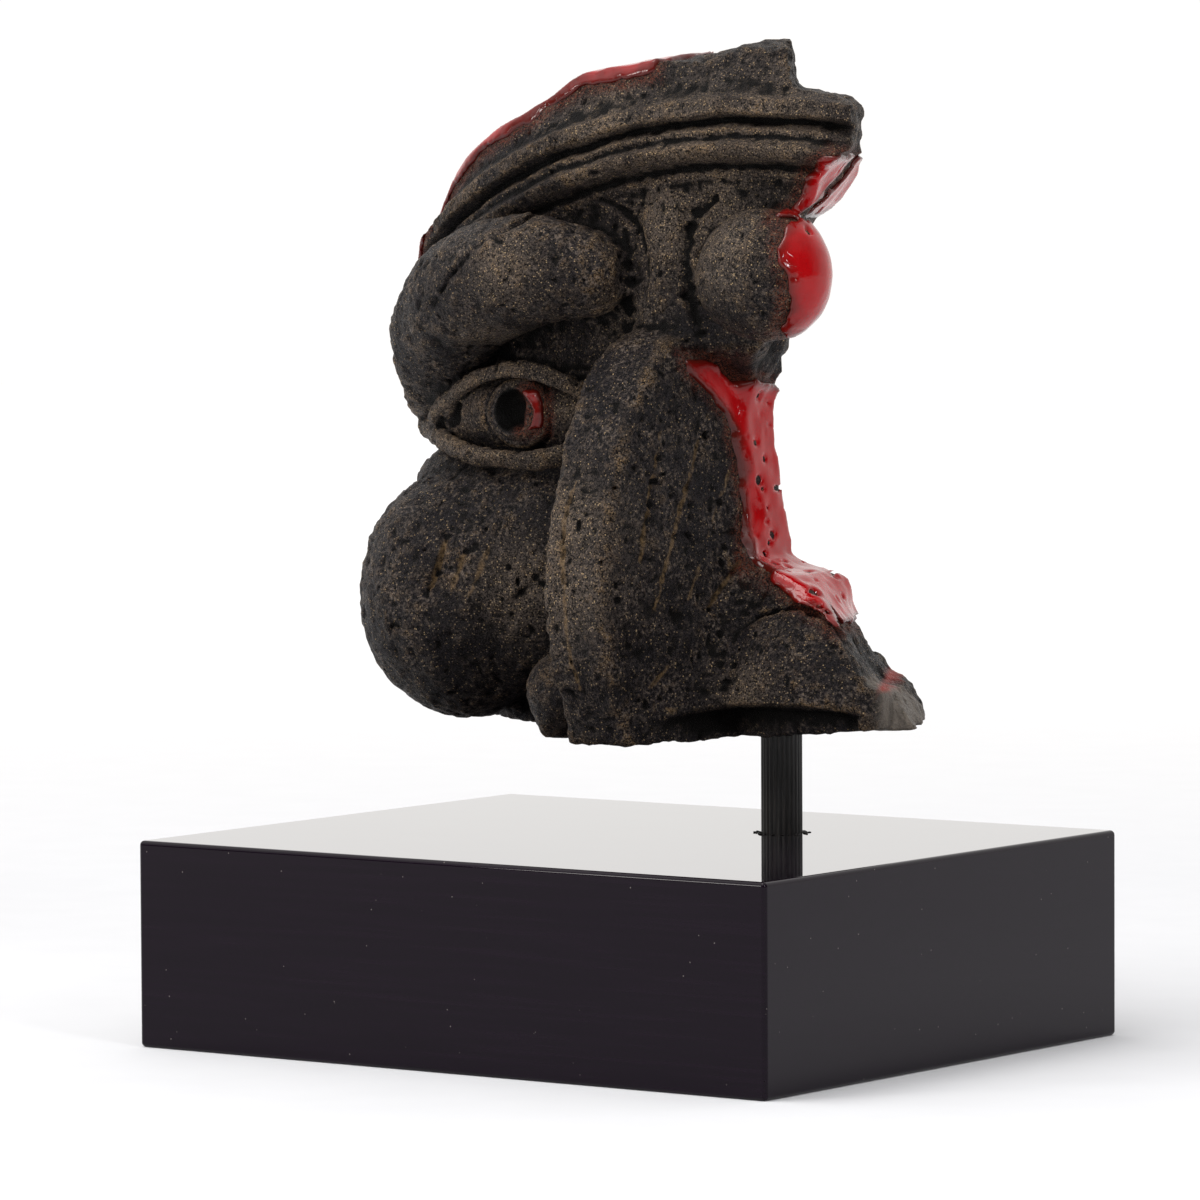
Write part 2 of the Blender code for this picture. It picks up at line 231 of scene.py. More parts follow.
# %% Profiles and pellets
def profile(value, points):
    """A smooth curve through a few (place, height) points, without overshoot."""
    places = np.array([point[0] for point in points], float)
    heights = np.array([point[1] for point in points], float)
    step = np.diff(places)
    slope = np.diff(heights) / step
    tangent = np.zeros_like(places)
    same_way = slope[:-1] * slope[1:] > 0
    harmonic = 2 * slope[:-1] * slope[1:] / (slope[:-1] + slope[1:] + 1e-9)
    tangent[1:-1] = np.where(same_way, harmonic, 0)
    tangent[0] = slope[0]
    tangent[-1] = slope[-1]
    i = np.clip(np.searchsorted(places, value) - 1, 0, len(step) - 1)
    t = np.clip((value - places[i]) / step[i], 0, 1)
    start = (2 * t**3 - 3 * t**2 + 1) * heights[i] + (t**3 - 2 * t**2 + t) * step[i] * tangent[i]
    end = (3 * t**2 - 2 * t**3) * heights[i + 1] + (t**3 - t**2) * step[i] * tangent[i + 1]
    return start + end


def egg(x, y, z, centre, radii, tilt=0.0):
    """A pellet of clay, tilted by some degrees as seen from the front."""
    dx = x - centre[0]
    dy = (y - centre[1]) / radii[1]
    dz = z - centre[2]
    turn = np.radians(tilt)
    across = (dx * np.cos(turn) + dz * np.sin(turn)) / radii[0]
    along = (dz * np.cos(turn) - dx * np.sin(turn)) / radii[2]
    reach = np.sqrt(across**2 + dy**2 + along**2) + 1e-6
    slope = np.sqrt((across / radii[0])**2 + (dy / radii[1])**2 + (along / radii[2])**2) + 1e-6
    return reach * (reach - 1) / slope


print("A pellet's middle lies", round(float(-egg(0, 0, 0, (0, 0, 0), (5, 5, 5))), 1), "mm deep")


# %% Rolls of clay
def smooth_path(points, steps=5):
    """A smooth path through (x, y, z, radius) points."""
    points = np.array(points, float)
    last = len(points) - 1
    path = []
    for i in range(last):
        before = points[max(i - 1, 0)]
        a = points[i]
        b = points[i + 1]
        after = points[min(i + 2, last)]
        for t in np.arange(steps) / steps:
            curve = (2 * before - 5 * a + 4 * b - after) * t**2 + (3 * a - before - 3 * b + after) * t**3
            path.append(a + 0.5 * ((b - before) * t + curve))
    path.append(points[last])
    return path


def roll(x, y, z, points, blend):
    """A roll of clay along a path."""
    path = smooth_path(points)
    form = None
    for a, b in zip(path[:-1], path[1:]):
        way = b[:3] - a[:3]
        t = ((x - a[0]) * way[0] + (y - a[1]) * way[1] + (z - a[2]) * way[2]) / way.dot(way)
        t = np.clip(t, 0, 1)
        far = np.sqrt((x - a[0] - way[0] * t)**2 + (y - a[1] - way[1] * t)**2 + (z - a[2] - way[2] * t)**2)
        piece = far - (a[3] + (b[3] - a[3]) * t)
        form = piece if form is None else join(form, piece, blend)
    return form


def press(form, x, y, z, points, blend, sign=-1):
    """Press a thin roll into the clay, or lay one on with sign 1; worked out only near its path."""
    places = np.array(points, float)
    reach = places[:, 3].max() + 2 * blend + 2
    low = places[:, :3].min(axis=0) - reach
    high = places[:, :3].max(axis=0) + reach
    near = (x > low[0]) & (x < high[0]) & (y > low[1]) & (y < high[1]) & (z > low[2]) & (z < high[2])
    form = form.copy()
    tool = roll(x[near], y[near], z[near], points, 0.5)
    form[near] = carve(form[near], tool, blend) if sign < 0 else join(form[near], tool, blend)
    return form


def lumps(x, y, z, size, seed):
    """Smooth noise from -1 to 1 on a random lattice of one size, the same on every run."""
    count = 32
    lattice = np.random.RandomState(seed).uniform(-1, 1, (count, count, count))
    cells = [value / size + 1000.0 for value in (x, y, z)]
    low = [np.floor(cell).astype(int) for cell in cells]
    share = [ramp(0, 1, cell - floor) for cell, floor in zip(cells, low)]
    total = 0.0
    for corner in range(8):
        side = [corner & 1, corner >> 1 & 1, corner >> 2 & 1]
        index = tuple((floor + step) % count for floor, step in zip(low, side))
        weight = 1.0
        for step, part in zip(side, share):
            weight = weight * (part if step else 1 - part)
        total = total + lattice[index] * weight
    return total


print("A path through three points has", len(smooth_path([(0, 0, 0, 1), (5, 0, 0, 1), (9, 2, 0, 1)])), "steps")

# %% [markdown]
# ## The wall and its bands
# The mask is a shell that curves round like a head, and stepped bands arch over its brow. They were made by
# cutting back the clay between strips. A lathe or a swept profile would be too regular, so the bands are
# one height profile, measured downwards from an arch, that is added to the wall's curve.

# %% The wall
HALF_WIDTH = 116
HALF_DEPTH = 76
SQUARENESS = 2.6
BAND_PROFILE = [(-14, -1), (-3, 1), (-0.5, 3), (1, 6), (5, 6), (7.2, 0.5), (8, 1), (10, 5),
                (11.8, 4), (14.5, 8), (17.5, 6.5), (20.5, 0.5), (22.5, 2), (25, 0.5), (32, 0)]


def forehead_wall(x, y, z):
    """The curved wall, with the stepped bands that arch over the brow."""
    lean = 10 * ramp(166, 211, z)
    top_band = 185 - 0.00236 * (x - 30)**2
    bands = profile(top_band - z + 0.4 * lumps(x, y, z, 12, 21), BAND_PROFILE)
    across = np.abs(x) / HALF_WIDTH
    back = np.abs(y - 80 - lean) / HALF_DEPTH
    reach = (across**SQUARENESS + back**SQUARENESS + 1e-9)**(1 / SQUARENESS)
    slope_x = across**(SQUARENESS - 1) / HALF_WIDTH
    slope_y = back**(SQUARENESS - 1) / HALF_DEPTH
    slope = np.sqrt(slope_x**2 + slope_y**2) / reach**(SQUARENESS - 1) + 1e-6
    wall = (reach - 1) / slope - bands
    behind_cheek = 6 * ramp(86, 61, z)
    behind_nose = 12 * ramp(-15, 2, x) * ramp(114, 101, z)
    return wall + behind_cheek + behind_nose


print("The bands cover", BAND_PROFILE[-1][0] - BAND_PROFILE[0][0], "mm of the forehead")

# %% [markdown]
# ## Brow, nose and cheek
# The brow is one thick roll, the nose a tall wedge with a flat front strip, and the cheek three pressed
# pellets. The forms are large and few, and what makes them look like clay comes afterwards, with the tool
# marks and the grain.

# %% Brow and nose
BROW_ROLL = [(-21, -3, 133, 12), (-40, -7, 134.5, 16), (-65, -1, 127.5, 17), (-84, 11, 115, 15.5),
             (-93, 21, 102, 14)]
NOSE_RIDGE = [(-4, -28), (5, -30.5), (15, -34.5), (25, -38), (42, -39.8), (53, -39), (77, -33.5),
              (98, -23), (112, -11), (121, 2), (131, 8)]


def brow(x, y, z, rough):
    """The thick roll over the eye, broken off at its outer end."""
    broken_end = -x - 102 - 0.3 * (y - 20)
    return keep(roll(x, y, z, BROW_ROLL, 2), broken_end * 0.95 + rough * 0.7, 2)


def nose(x, y, z):
    """A tall wedge: a flat front strip, straight sides, and a base that flares to the right."""
    ridge = profile(z, NOSE_RIDGE)
    half = 10.8 + np.maximum(y - ridge, 0) * 0.19
    flare = 20 * ramp(61, 6, z) * ramp(-35, 25, y)
    side = np.where(x > 0, x - half - flare, -x - half) * 0.97
    form = keep(side, ridge - 1 - y, 3)
    form = keep(form, z - 119, 9)
    return keep(form, y - 40, 4)


def add_glabella(form, x, y, z):
    """The upright ridge between the brows, with a furrow at each side."""
    form = join(form, egg(x, y, z, (2, 4, 133), (11, 5, 26)), 4)
    for side in (-7, 9):
        furrow = [(side * 1.3, 1, 151, 2.4), (side, -2, 136, 3.2), (side * 0.8, -4, 120, 2.4)]
        form = press(form, x, y, z, furrow, 2.5)
    return form


print("The nose stands", -min(depth for height, depth in NOSE_RIDGE), "mm forward")


# %% Nostril and cheek
def under_rim(x, y, z, amount, fade, left_end):
    """An amount in the groove under the nostril's rim, fading to 0 around it."""
    rim_height = 12.4 - 0.0035 * (x - 48)**2
    groove = amount * ramp(rim_height, rim_height - fade, z) * ramp(12, left_end, x)
    return groove * ramp(72, 66, x) * ramp(25, 15, y)


def add_nostril_side(form, x, y, z):
    """The nostril's wing, the ledge above it and the stump of the lost cheek."""
    form = join(form, egg(x, y, z, (36, 22, 27), (34, 18, 30), tilt=-25), 10)
    form = join(form, egg(x, y, z, (46, 8, 11), (29, 16.5, 25.5)), 9)
    crease = [(26, -6, 27, 0.5), (29, -1, 31.5, 0.9), (33, 2, 35, 1.2), (40, 4.5, 37.3, 1.4),
              (48, 6, 37.8, 1.4), (55, 6, 36, 1.4), (61, 5, 31.5, 1.4), (66, 3, 26, 1.3), (70, 1, 18, 1.2)]
    form = press(form, x, y, z, crease, 0.8)
    form = join(form, egg(x, y, z, (72, 24, 3), (15, 13, 16)), 2.5)
    return form + under_rim(x, y, z, 5.5, 3, 24)


def add_cheek(form, x, y, z, rough):
    """Three smooth pellets, and a rough one where the cheek meets the nose."""
    form = join(form, egg(x, y, z, (-73, 6, 39), (32, 30, 36.5)), 5)
    form = join(form, egg(x, y, z, (-73, 16, 73), (24, 14, 13), tilt=10), 5)
    form = join(form, egg(x, y, z, (-44, 8, 47), (26, 22, 32)), 14)
    return join(form, egg(x, y, z, (-21, -13, 12), (12, 14, 14)) + rough * 0.6, 3)


print("Cheek and nostril are six pellets")

# %% [markdown]
# ## The eye
# The eye is the finest modelling on the piece: a smooth ball between two flat, rough lids, with two rings
# and a drilled pupil. Lids are laid on as rolls, and the rings are engraved by pushing the surface in where
# the distance from the iris's middle is right, as a potter would turn a cut tube in the soft clay.

# %% Eye
IRIS_MIDDLE = (-47, 93)
PUPIL_MIDDLE = (-48.5, -7, 93.5)
IRIS_RINGS = [(11.4, 0.9), (8.6, 0.7)]
UPPER_LID = [(-90, 11, 86, 2.6), (-81, 3, 92, 2.3), (-72, -1, 97, 2.2), (-60, -4.5, 102.5, 2.2),
             (-45, -6, 105, 2.2), (-33, -4.5, 102.5, 2.2), (-24, -1, 98, 2.1), (-15, 4, 91, 2)]
LOWER_LID = [(-97, 19, 88, 3.6), (-86, 8, 86.5, 3.2), (-74, 0, 83.5, 2.8), (-60, -5, 81, 2.7),
             (-42, -7, 79.8, 2.6), (-31, -5, 82, 2.4), (-22, -1, 86, 2.2), (-15, 4, 91, 2)]
CORNER_PIT = [(-76, 2, 89, 1.4), (-72, 0.5, 91, 2.4), (-70, 0, 94, 1.6)]


def add_eye(form, x, y, z, rough):
    """Socket, eyeball, iris rings, a drilled pupil, two lids and the pit in the corner."""
    form = carve(form, egg(x, y, z, (-52, -9, 95), (36, 12, 17)), 5)
    form = join(form, egg(x, y, z, (-51, 16, 93), (38, 20, 16)), 2)
    form = join(form, egg(x, y, z, (-47, -1.2, 93), (12, 4, 11)), 2)
    from_iris = np.hypot(x - IRIS_MIDDLE[0], z - IRIS_MIDDLE[1]) + 0.4 * lumps(x, y, z, 4, 8)
    in_front = ramp(8, 2, y)
    for radius, depth in IRIS_RINGS:
        form = form + depth * in_front * np.exp(-((from_iris - radius) / 0.6)**2)
    pupil = egg(x, y, z, PUPIL_MIDDLE, (5.8, 9, 6.2)) + rough * 0.5 + 1.1 * lumps(x, y, z, 3.2, 9)
    form = carve(form, pupil, 0.6)
    for lid, outwards in ((UPPER_LID, 1.8), (LOWER_LID, -1.8)):
        outer_edge = [(px - 0.3, py + 0.9, pz + outwards, radius * 0.7) for px, py, pz, radius in lid]
        form = press(form, x, y, z, outer_edge, 1.5, sign=1)
        form = press(form, x, y, z, [(*point[:3], point[3] * 0.8) for point in lid], 1.2, sign=1)
    return press(form, x, y, z, CORNER_PIT, 0.6)


print("Iris rings in millimetres across:", [2 * radius for radius, depth in IRIS_RINGS])

# %% [markdown]
# ## Tool marks
# Seams between the rolls were drawn with a wooden tool, and short strokes were cut into the cheek. They are
# thin paths pressed into the clay. A path lies on the surface, so each one is a few measured points.

# %% Creases and strokes
CREASES = [
    [(-84, 5, 97, 0.6), (-74, -4, 104, 1.0), (-60, -9, 109.5, 1.2), (-42, -9, 111, 1.2), (-26, -4, 106.5, 0.8)],
    [(-80, -1, 77.5, 0.8), (-62, -9, 74.5, 1.3), (-42, -10, 75, 1.3), (-26, -6, 79.5, 0.8)],
    [(-30, -11, 50, 0.6), (-38, -14, 41, 1.2), (-47, -17, 34, 0.7)],
    [(-68, -18, 122, 0.4), (-51, -22, 139, 0.8), (-40, -17, 147, 1.0), (-36, 3, 151, 0.9)],
    [(-36, 3, 151, 1.0), (-26, 2, 150, 1.3), (-15, 1, 146, 1.5), (-8, 0, 138, 1.4), (-7, -2, 126, 1.0)],
    [(-21, 3, 155, 0.8), (-12, 4, 150.5, 1.6), (-6, 1.5, 143, 1.9), (-3, -1, 133, 1.5), (-4, -1, 122, 1.0)],
    [(20, 5, 156, 0.8), (12, 3.5, 150, 1.6), (10, 1.5, 140, 1.9), (11, 1.5, 129, 1.9), (13, 3, 120, 1.3)],
    [(11, 0, 121, 0.7), (20, 3, 116, 1.3), (33, 4, 114, 1.0)],
]
SCRATCHES = [
    [(-62, -18, 57, 0.3), (-63, -20, 50, 0.6), (-65, -22, 42, 0.5)],
    [(-54, -17, 57, 0.3), (-56, -19, 50, 0.6), (-58, -21, 42, 0.5)],
    [(-48, -16, 55, 0.3), (-50, -18, 48, 0.6), (-53, -20, 40, 0.5)],
    [(-3, -35, 76, 0.3), (-5, -38, 64, 0.5), (-4, -40, 50, 0.5), (-3, -41, 42, 0.5), (-3, -40, 30, 0.5),
     (-1, -36, 16, 0.3)],
    [(9, -27, 90, 0.3), (9, -36, 65, 0.5), (9, -38, 53, 0.5), (8, -39, 42, 0.5), (9, -37, 29, 0.4)],
    [(13, -16, 90, 0.3), (13, -26, 53, 0.5)],
    [(16, -1, 86, 0.3), (15.5, -12, 62, 0.5), (15, -22, 39, 0.4)],
    [(19, 10, 77, 0.3), (19, -10, 41, 0.5)],
    [(23, 9, 51, 0.3), (19, -8, 33, 0.5), (15, -24, 16, 0.4)],
    [(27, -5, 29, 0.3), (33, 0, 35, 0.5), (45, 4, 39.5, 0.5), (58, 9, 35.5, 0.5), (67, 9, 25, 0.5),
     (72, 8, 13, 0.3)],
    [(23, -11, 21, 0.3), (38, -8, 27, 0.5), (50, -7, 28, 0.5), (57, -7, 25, 0.3)],
    [(17, -19, 10, 0.3), (24, -13, 10.5, 0.5), (40, -11, 12, 0.5), (57, -11, 12.5, 0.5), (67, -1, 10, 0.3)],
]


def draw_creases(form, x, y, z):
    """Soft seams between the rolls, and sharper strokes."""
    for crease in CREASES:
        form = press(form, x, y, z, crease, 0.7)
    for scratch in SCRATCHES:
        form = press(form, x, y, z, scratch, 0.4)
    return form


def near_scratch(x, y, z):
    """1 on a scratch's path, fading over a millimetre."""
    mark = np.zeros_like(x)
    for scratch in SCRATCHES:
        mark = np.maximum(mark, np.exp(-(np.maximum(roll(x, y, z, scratch, 0.5), 0) / 1.1)**2))
    return mark


print(len(CREASES), "creases and", len(SCRATCHES), "scratches")


# %% Grain
GRAIN_SIZES = (2.8, 1.5)
PIT_SIZE = 2.2


def add_grain(form, x, y, z, bare):
    """Uneven hand pressure, drag marks across the bands, grains of chamotte, and pits."""
    hand = 0.5 * lumps(x, y, z, 15, 31) + 0.35 * lumps(x, y, z, 7, 32)
    drag = 0.22 * lumps(x * 0.25, y * 0.25, z, 2.2, 33)
    grain = 0.35 * lumps(x, y, z, GRAIN_SIZES[0], 34) + 0.4 * lumps(x, y, z, GRAIN_SIZES[1], 35)
    pits = np.maximum(lumps(x, y, z, PIT_SIZE, 36) - 0.42, 0) * 2.2
    on_ball = np.exp(-(((x + 50) / 33)**2 + ((z - 93) / 10)**2)**2) * ramp(14, 8, y)
    return form + (hand + drag + grain + pits) * (1 - 0.85 * on_ball) * (0.1 + 0.9 * bare)


print("Grains are about", GRAIN_SIZES[0], "and", GRAIN_SIZES[1], "mm wide, pits", PIT_SIZE, "mm")

# %% [markdown]
# ## The back and the break
# Behind the face is a hollow, as in any large piece that has to dry evenly, with a floor that holds the
# dowel. The outline is a break: dry clay tears along uneven lines, so the cuts are rough, where the modelled
# front is smooth. Crimson glaze was brushed on parts of the break. Where it lies is needed here already,
# because clay under glaze is smooth.

# %% Hollow back
WALL = 24.0
FLOOR = 22.0
DOWEL_FROM_FOOT = (23.4, 29.6)
BOSS_RADIUS = 19.0
BOSS_HEIGHT = 37.0
BORE_RADIUS = 6.3
BORE_DEPTH = 24


def hollow_back(x, y, z):
    """The hollow, down to the floor."""
    bowl = egg(x, y, z, (-6, 84, 104), (118 - WALL, 80 - WALL, 150)) + 0.8 * lumps(x, y, z, 11, 41)
    return keep(bowl, FLOOR - z, 10)


def add_boss(form, x, y, z):
    """Thick clay round the dowel."""
    far = np.hypot(x - DOWEL_FROM_FOOT[0], y - DOWEL_FROM_FOOT[1])
    return join(form, keep(far - BOSS_RADIUS, z - BOSS_HEIGHT, 6), 6)


print("Clay round the dowel is", round(BOSS_RADIUS - BORE_RADIUS, 1), "mm thick")

# %% The broken outline
RIGHT_EDGE = [(-1, 85), (6, 82), (15, 75), (17, 69), (20.5, 65.5), (31, 59), (38, 53), (44.5, 46), (47, 40),
              (49, 32), (53, 26), (76, 22.5), (96, 21), (107, 27), (117, 34), (127, 40), (147, 42), (151.5, 45),
              (155, 48.5), (160, 51), (166, 56), (170, 61), (181, 63), (184.5, 58), (187, 42), (201, 38)]
RIGHT_SLANT = [(-1, 0.6), (33, 0.5), (49, 0.15), (61, 0.05), (101, 0.05), (123, 0.45), (147, 0.42),
               (160, 0.33), (166, 0.45), (170, 0.6), (201, 0.6)]
TOP_EDGE = [(-122, 109), (-114, 123), (-106, 137), (-95, 151), (-85, 162), (-70, 172), (-48, 182), (-31, 191),
            (-13, 193.5), (8, 195.5), (23, 198), (32, 197), (50, 195)]


def right_break(x, y, z):
    """Distance to the slanting cut at the right; its edge is given for each height."""
    slant = profile(z, RIGHT_SLANT)
    slope = (profile(z + 1, RIGHT_EDGE) - profile(z - 1, RIGHT_EDGE)) / 2
    return (x + slant * (y - 10) - profile(z, RIGHT_EDGE)) / np.sqrt(1 + slant**2 + slope**2)


def top_break(x, y, z):
    """Distance to the cut along the top."""
    return (z - profile(x, TOP_EDGE) - 0.1 * np.clip(y - 10, -10, 30)) * 0.9


def break_off(form, x, y, z, rough):
    """The broken outline: right side, top, left side and back, and the flat underside."""
    form = keep(form, right_break(x, y, z) + rough * 0.8, 1.2)
    form = join(form, egg(x, y, z, (40, -3, 134), (20, 17, 19)), 2.5)
    form = keep(form, top_break(x, y, z) + rough * 0.7, 1.2)
    form = keep(form, -x - 118.5 + rough * 0.5, 2)
    form = keep(form, y - 60 + rough, 2)
    underside = 0.075 * np.maximum(x - 10, 0) + 1.5 * ramp(-30, -70, x)
    return keep(form, underside - z, 1.2)


print("The broken outline follows", len(RIGHT_EDGE) + len(TOP_EDGE), "points")

# %% Where the glaze reaches
SIDE_BORDER = [(28, 25), (33, 18), (36, 14.5), (39, 12), (42, 10), (45, 9.5), (48, 9.5), (52, 10.5),
               (57, 12), (65, 14), (77, 13), (90, 11), (97, 7), (102, 1), (106, -3), (110, -4)]
LEDGE_BORDER = [(34, 47), (38, 43.7), (43, 41.2), (50, 38.8), (55, 36.5), (60, 33.5), (70, 30)]
TOP_BORDER = [(-6, 109.5), (2, 109.5), (8, 107.5), (14, 102.5), (18, 103), (22, 102.5), (27, 102), (34, 101)]
BULB_BORDER = [(112, 46), (118, 50), (124, 54), (133, 55), (141, 53), (148, 52), (153, 51)]


def within(*limits):
    """Millimetres inside all the limits at once, negative outside any of them."""
    return reduce(np.minimum, limits)


def glaze_reach(x, y, z):
    """Millimetres from the glaze's border, positive where it is glazed."""
    ragged = 0.9 * lumps(x, y, z, 6, 51) + 0.6 * lumps(x, y, z, 2.4, 52)
    side = within(y - profile(z, SIDE_BORDER), x - 12, z - 33, profile(y, TOP_BORDER) - z)
    ledge = within(z - profile(x, LEDGE_BORDER), x - 35, 52 - z, y)
    bulb = within(x - profile(z, BULB_BORDER) + 0.25 * np.maximum(y, 0), z - 114, 158 - z)
    bare_stripe = np.abs(y - 30 - 1.4 * (z - 165)) - 4
    end_face = within(right_break(x, y, z) + 3, z - 150, 168 - z, bare_stripe)
    top = within(top_break(x, y, z) + 2.8, y - 9, -6 - x)
    from_iris = np.hypot(x - IRIS_MIDDLE[0], z - IRIS_MIDDLE[1])
    iris = within(10.2 - from_iris, from_iris - 6.4, x - IRIS_MIDDLE[0] - 2.5, z - 88, 99.5 - z)
    return reduce(np.maximum, (side, ledge, bulb, end_face, top, np.where(y < 6, iris, -9))) + ragged


print("The glaze's borders follow", len(SIDE_BORDER + LEDGE_BORDER + TOP_BORDER + BULB_BORDER), "points")


# %% The whole fragment
def clay_form(x, y, z):
    """The whole fragment; the clay is smooth where glaze has run over it."""
    bare = ramp(1, -2, glaze_reach(x, y, z))
    rough = (1.6 * lumps(x, y, z, 9, 3) + 0.8 * lumps(x, y, z, 4, 5)) * (0.35 + 0.65 * bare)
    form = forehead_wall(x, y, z)
    form = join(form, brow(x, y, z, rough), 4)
    form = join(form, nose(x, y, z), 5)
    form = add_glabella(form, x, y, z)
    form = add_nostril_side(form, x, y, z)
    form = add_cheek(form, x, y, z, rough)
    form = add_eye(form, x, y, z, rough)
    form = draw_creases(form, x, y, z)
    form = carve(form, hollow_back(x, y, z), 3)
    form = add_boss(form, x, y, z)
    form = break_off(form, x, y, z, rough)
    form = add_grain(form, x, y, z, bare)
    bore = np.hypot(x - DOWEL_FROM_FOOT[0], y - DOWEL_FROM_FOOT[1]) - BORE_RADIUS
    return carve(form, keep(bore, z - BORE_DEPTH, 0.5), 0.3)


print("The dowel's hole is", 2 * BORE_RADIUS, "mm wide and", BORE_DEPTH, "mm deep")

# %% [markdown]
# ## Skinning the clay
# OpenVDB, the library behind Blender's Remesh, turns distances into a mesh. It needs the distance in every
# small cell, which is slow for a big block of space. So a coarse pass finds the cells near the surface, and
# only those are worked out finely. The fine skin is then thinned where it is flat, which keeps the grain.

# %% Skin
SKIN_LOW = (-122, -50, -5)
SKIN_HIGH = (92, 66, 206)
CLAY_CELL = 0.8
CLAY_TRIANGLES = 190000
COARSE_CELL = 4
BAND_CELLS = 3


def skin(form_of, low, high, cell):
    """Mesh a form; places in millimetres from the fragment's foot."""
    coarse = COARSE_CELL
    size = [int(np.ceil((end - start) / (coarse * cell))) + 1 for start, end in zip(low, high)]
    lines = [start + coarse * cell * (np.arange(count) + 0.5) for start, count in zip(low, size)]
    distance = form_of(*np.meshgrid(*lines, indexing="ij"))
    close = np.abs(distance) < coarse * cell
    for axis in range(3):
        for step in (-2, -1, 1, 2):
            close |= np.roll(distance, step, axis) * distance < 0
    for axis in range(3):
        close = close | np.roll(close, 1, axis) | np.roll(close, -1, axis)
    for axis in range(3):
        distance = np.repeat(distance, coarse, axis=axis)
        close = np.repeat(close, coarse, axis=axis)
    near = np.nonzero(close)
    distance[near] = form_of(*[start + cell * (index + 0.5) for start, index in zip(low, near)])
    band = BAND_CELLS * cell
    grid = openvdb.FloatGrid(band)
    grid.copyFromArray(np.clip(distance, -band, band).astype(np.float32))
    points, triangles, quads = grid.convertToPolygons(0.0, 0.0)
    faces = [tuple(face) for face in quads.tolist() + triangles.tolist()]
    return (points + 0.5) * cell + np.array(low), faces


def plain_mesh(item, name):
    """The mesh that an object's modifiers make, in a new object at the origin."""
    bpy.context.view_layer.update()
    mesh = bpy.data.meshes.new_from_object(item.evaluated_get(bpy.context.evaluated_depsgraph_get()))
    mesh.name = name
    bpy.data.objects.remove(item)
    plain = bpy.data.objects.new(name, mesh)
    bpy.context.scene.collection.objects.link(plain)
    return plain


def thinned_skin(name, form_of, low, high, cell, triangles):
    """A form's skin, thinned to a number of triangles, as a smooth piece."""
    points, faces = skin(form_of, low, high, cell)
    mesh = bpy.data.meshes.new(name + " skin")
    mesh.from_pydata((points * MM + FOOT).tolist(), [], faces)
    item = bpy.data.objects.new(name + " skin", mesh)
    bpy.context.scene.collection.objects.link(item)
    thin = item.modifiers.new("thin where flat", "DECIMATE")
    thin.ratio = min(1.0, triangles / (2 * len(faces)))
    item = plain_mesh(item, name)
    item.data.polygons.foreach_set("use_smooth", np.ones(len(item.data.polygons), bool))
    print(name, "has", len(item.data.polygons), "triangles, from", 2 * len(faces))
    return item


clay = thinned_skin("clay_face", clay_form, SKIN_LOW, SKIN_HIGH, CLAY_CELL, CLAY_TRIANGLES)

# %% [markdown]
# ## A layer of glaze
# The glaze ran over the edges of the break a little. It is thick where it pools, ends in a round bead, and
# leaves pinholes over gas pits in the clay. It could be a colour on the clay, but its wet edge is what the
# eye sees, so it is a layer of its own: the clay's form again, pushed out by the glaze's depth, which is
# negative where there is none. Only the thin smear on the stump is painted on the clay.

# %% Glaze layer
GLAZE_PITS = [(22, 22, 98, 1.4), (22, 23, 93, 1.1), (22, 20, 85, 1.2), (22, 24, 80, 1.0), (22, 20, 74, 1.3),
              (22, 23, 66, 1.1), (24, 24, 58, 1.2), (29, 18, 50, 1.1), (36, 15, 47, 1.1), (48, 10, 42, 1.9)]
GLAZE_BEAD = [(-3, -3), (-0.5, -1.2), (0.3, 0.3), (1.2, 1.15), (2.6, 0.9), (5, 0.65), (12, 0.6)]


def glaze_depth(reach, x, y, z):
    """The glaze's thickness: a round bead at its border, thinner behind, with pinholes."""
    depth = profile(reach, GLAZE_BEAD)
    depth = depth + 0.12 * lumps(x, y, z, 7, 53) * ramp(0, 2, reach)
    for pit in GLAZE_PITS:
        far = np.sqrt((x - pit[0])**2 + (y - pit[1])**2 + (z - pit[2])**2)
        depth = depth - 2.4 * np.exp(-(far / pit[3])**4)
    pinholes = np.maximum(lumps(x, y, z, 3.1, 54) - 0.66, 0)
    return depth - 12 * pinholes


def glaze_form(x, y, z):
    """A thin layer over the clay, worked out only where there is glaze."""
    form = np.full(x.shape, 10.0)
    reach = glaze_reach(x, y, z)
    near = reach > -5
    place = (x[near], y[near], z[near])
    clay_near = clay_form(*place)
    form[near] = keep(clay_near - glaze_depth(reach[near], *place), -clay_near - 1.2, 0.4)
    return form


GLAZE_LOW = (-122, -24, -5)
GLAZE_CELL = 0.8
GLAZE_TRIANGLES = 120000
glaze = thinned_skin("crimson_glaze", glaze_form, GLAZE_LOW, SKIN_HIGH, GLAZE_CELL, GLAZE_TRIANGLES)

# %% [markdown]
# ## Crests, painted shade and brightened places
# Bare clay takes a bronze gleam where it stands out, because handling and salt in the fire touch the crests
# first, and its low ground takes a painted shade. A shader can't see that in every renderer, so it is measured
# on the mesh: each point is compared with the average of its neighbours and the result is kept as an attribute.
# The brightened places, partly rubbed bronze and partly painted light where the clay faces the lamps, and the
# painted shade in the pupil and under the nose's rim are kept in the same way.

# %% Measure crests
SMOOTHING_ROUNDS = 6


def mesh_points(mesh):
    """A mesh's points, in millimetres from the foot."""
    points = np.empty(3 * len(mesh.vertices))
    mesh.vertices.foreach_get("co", points)
    return (points.reshape(-1, 3) - FOOT) / MM


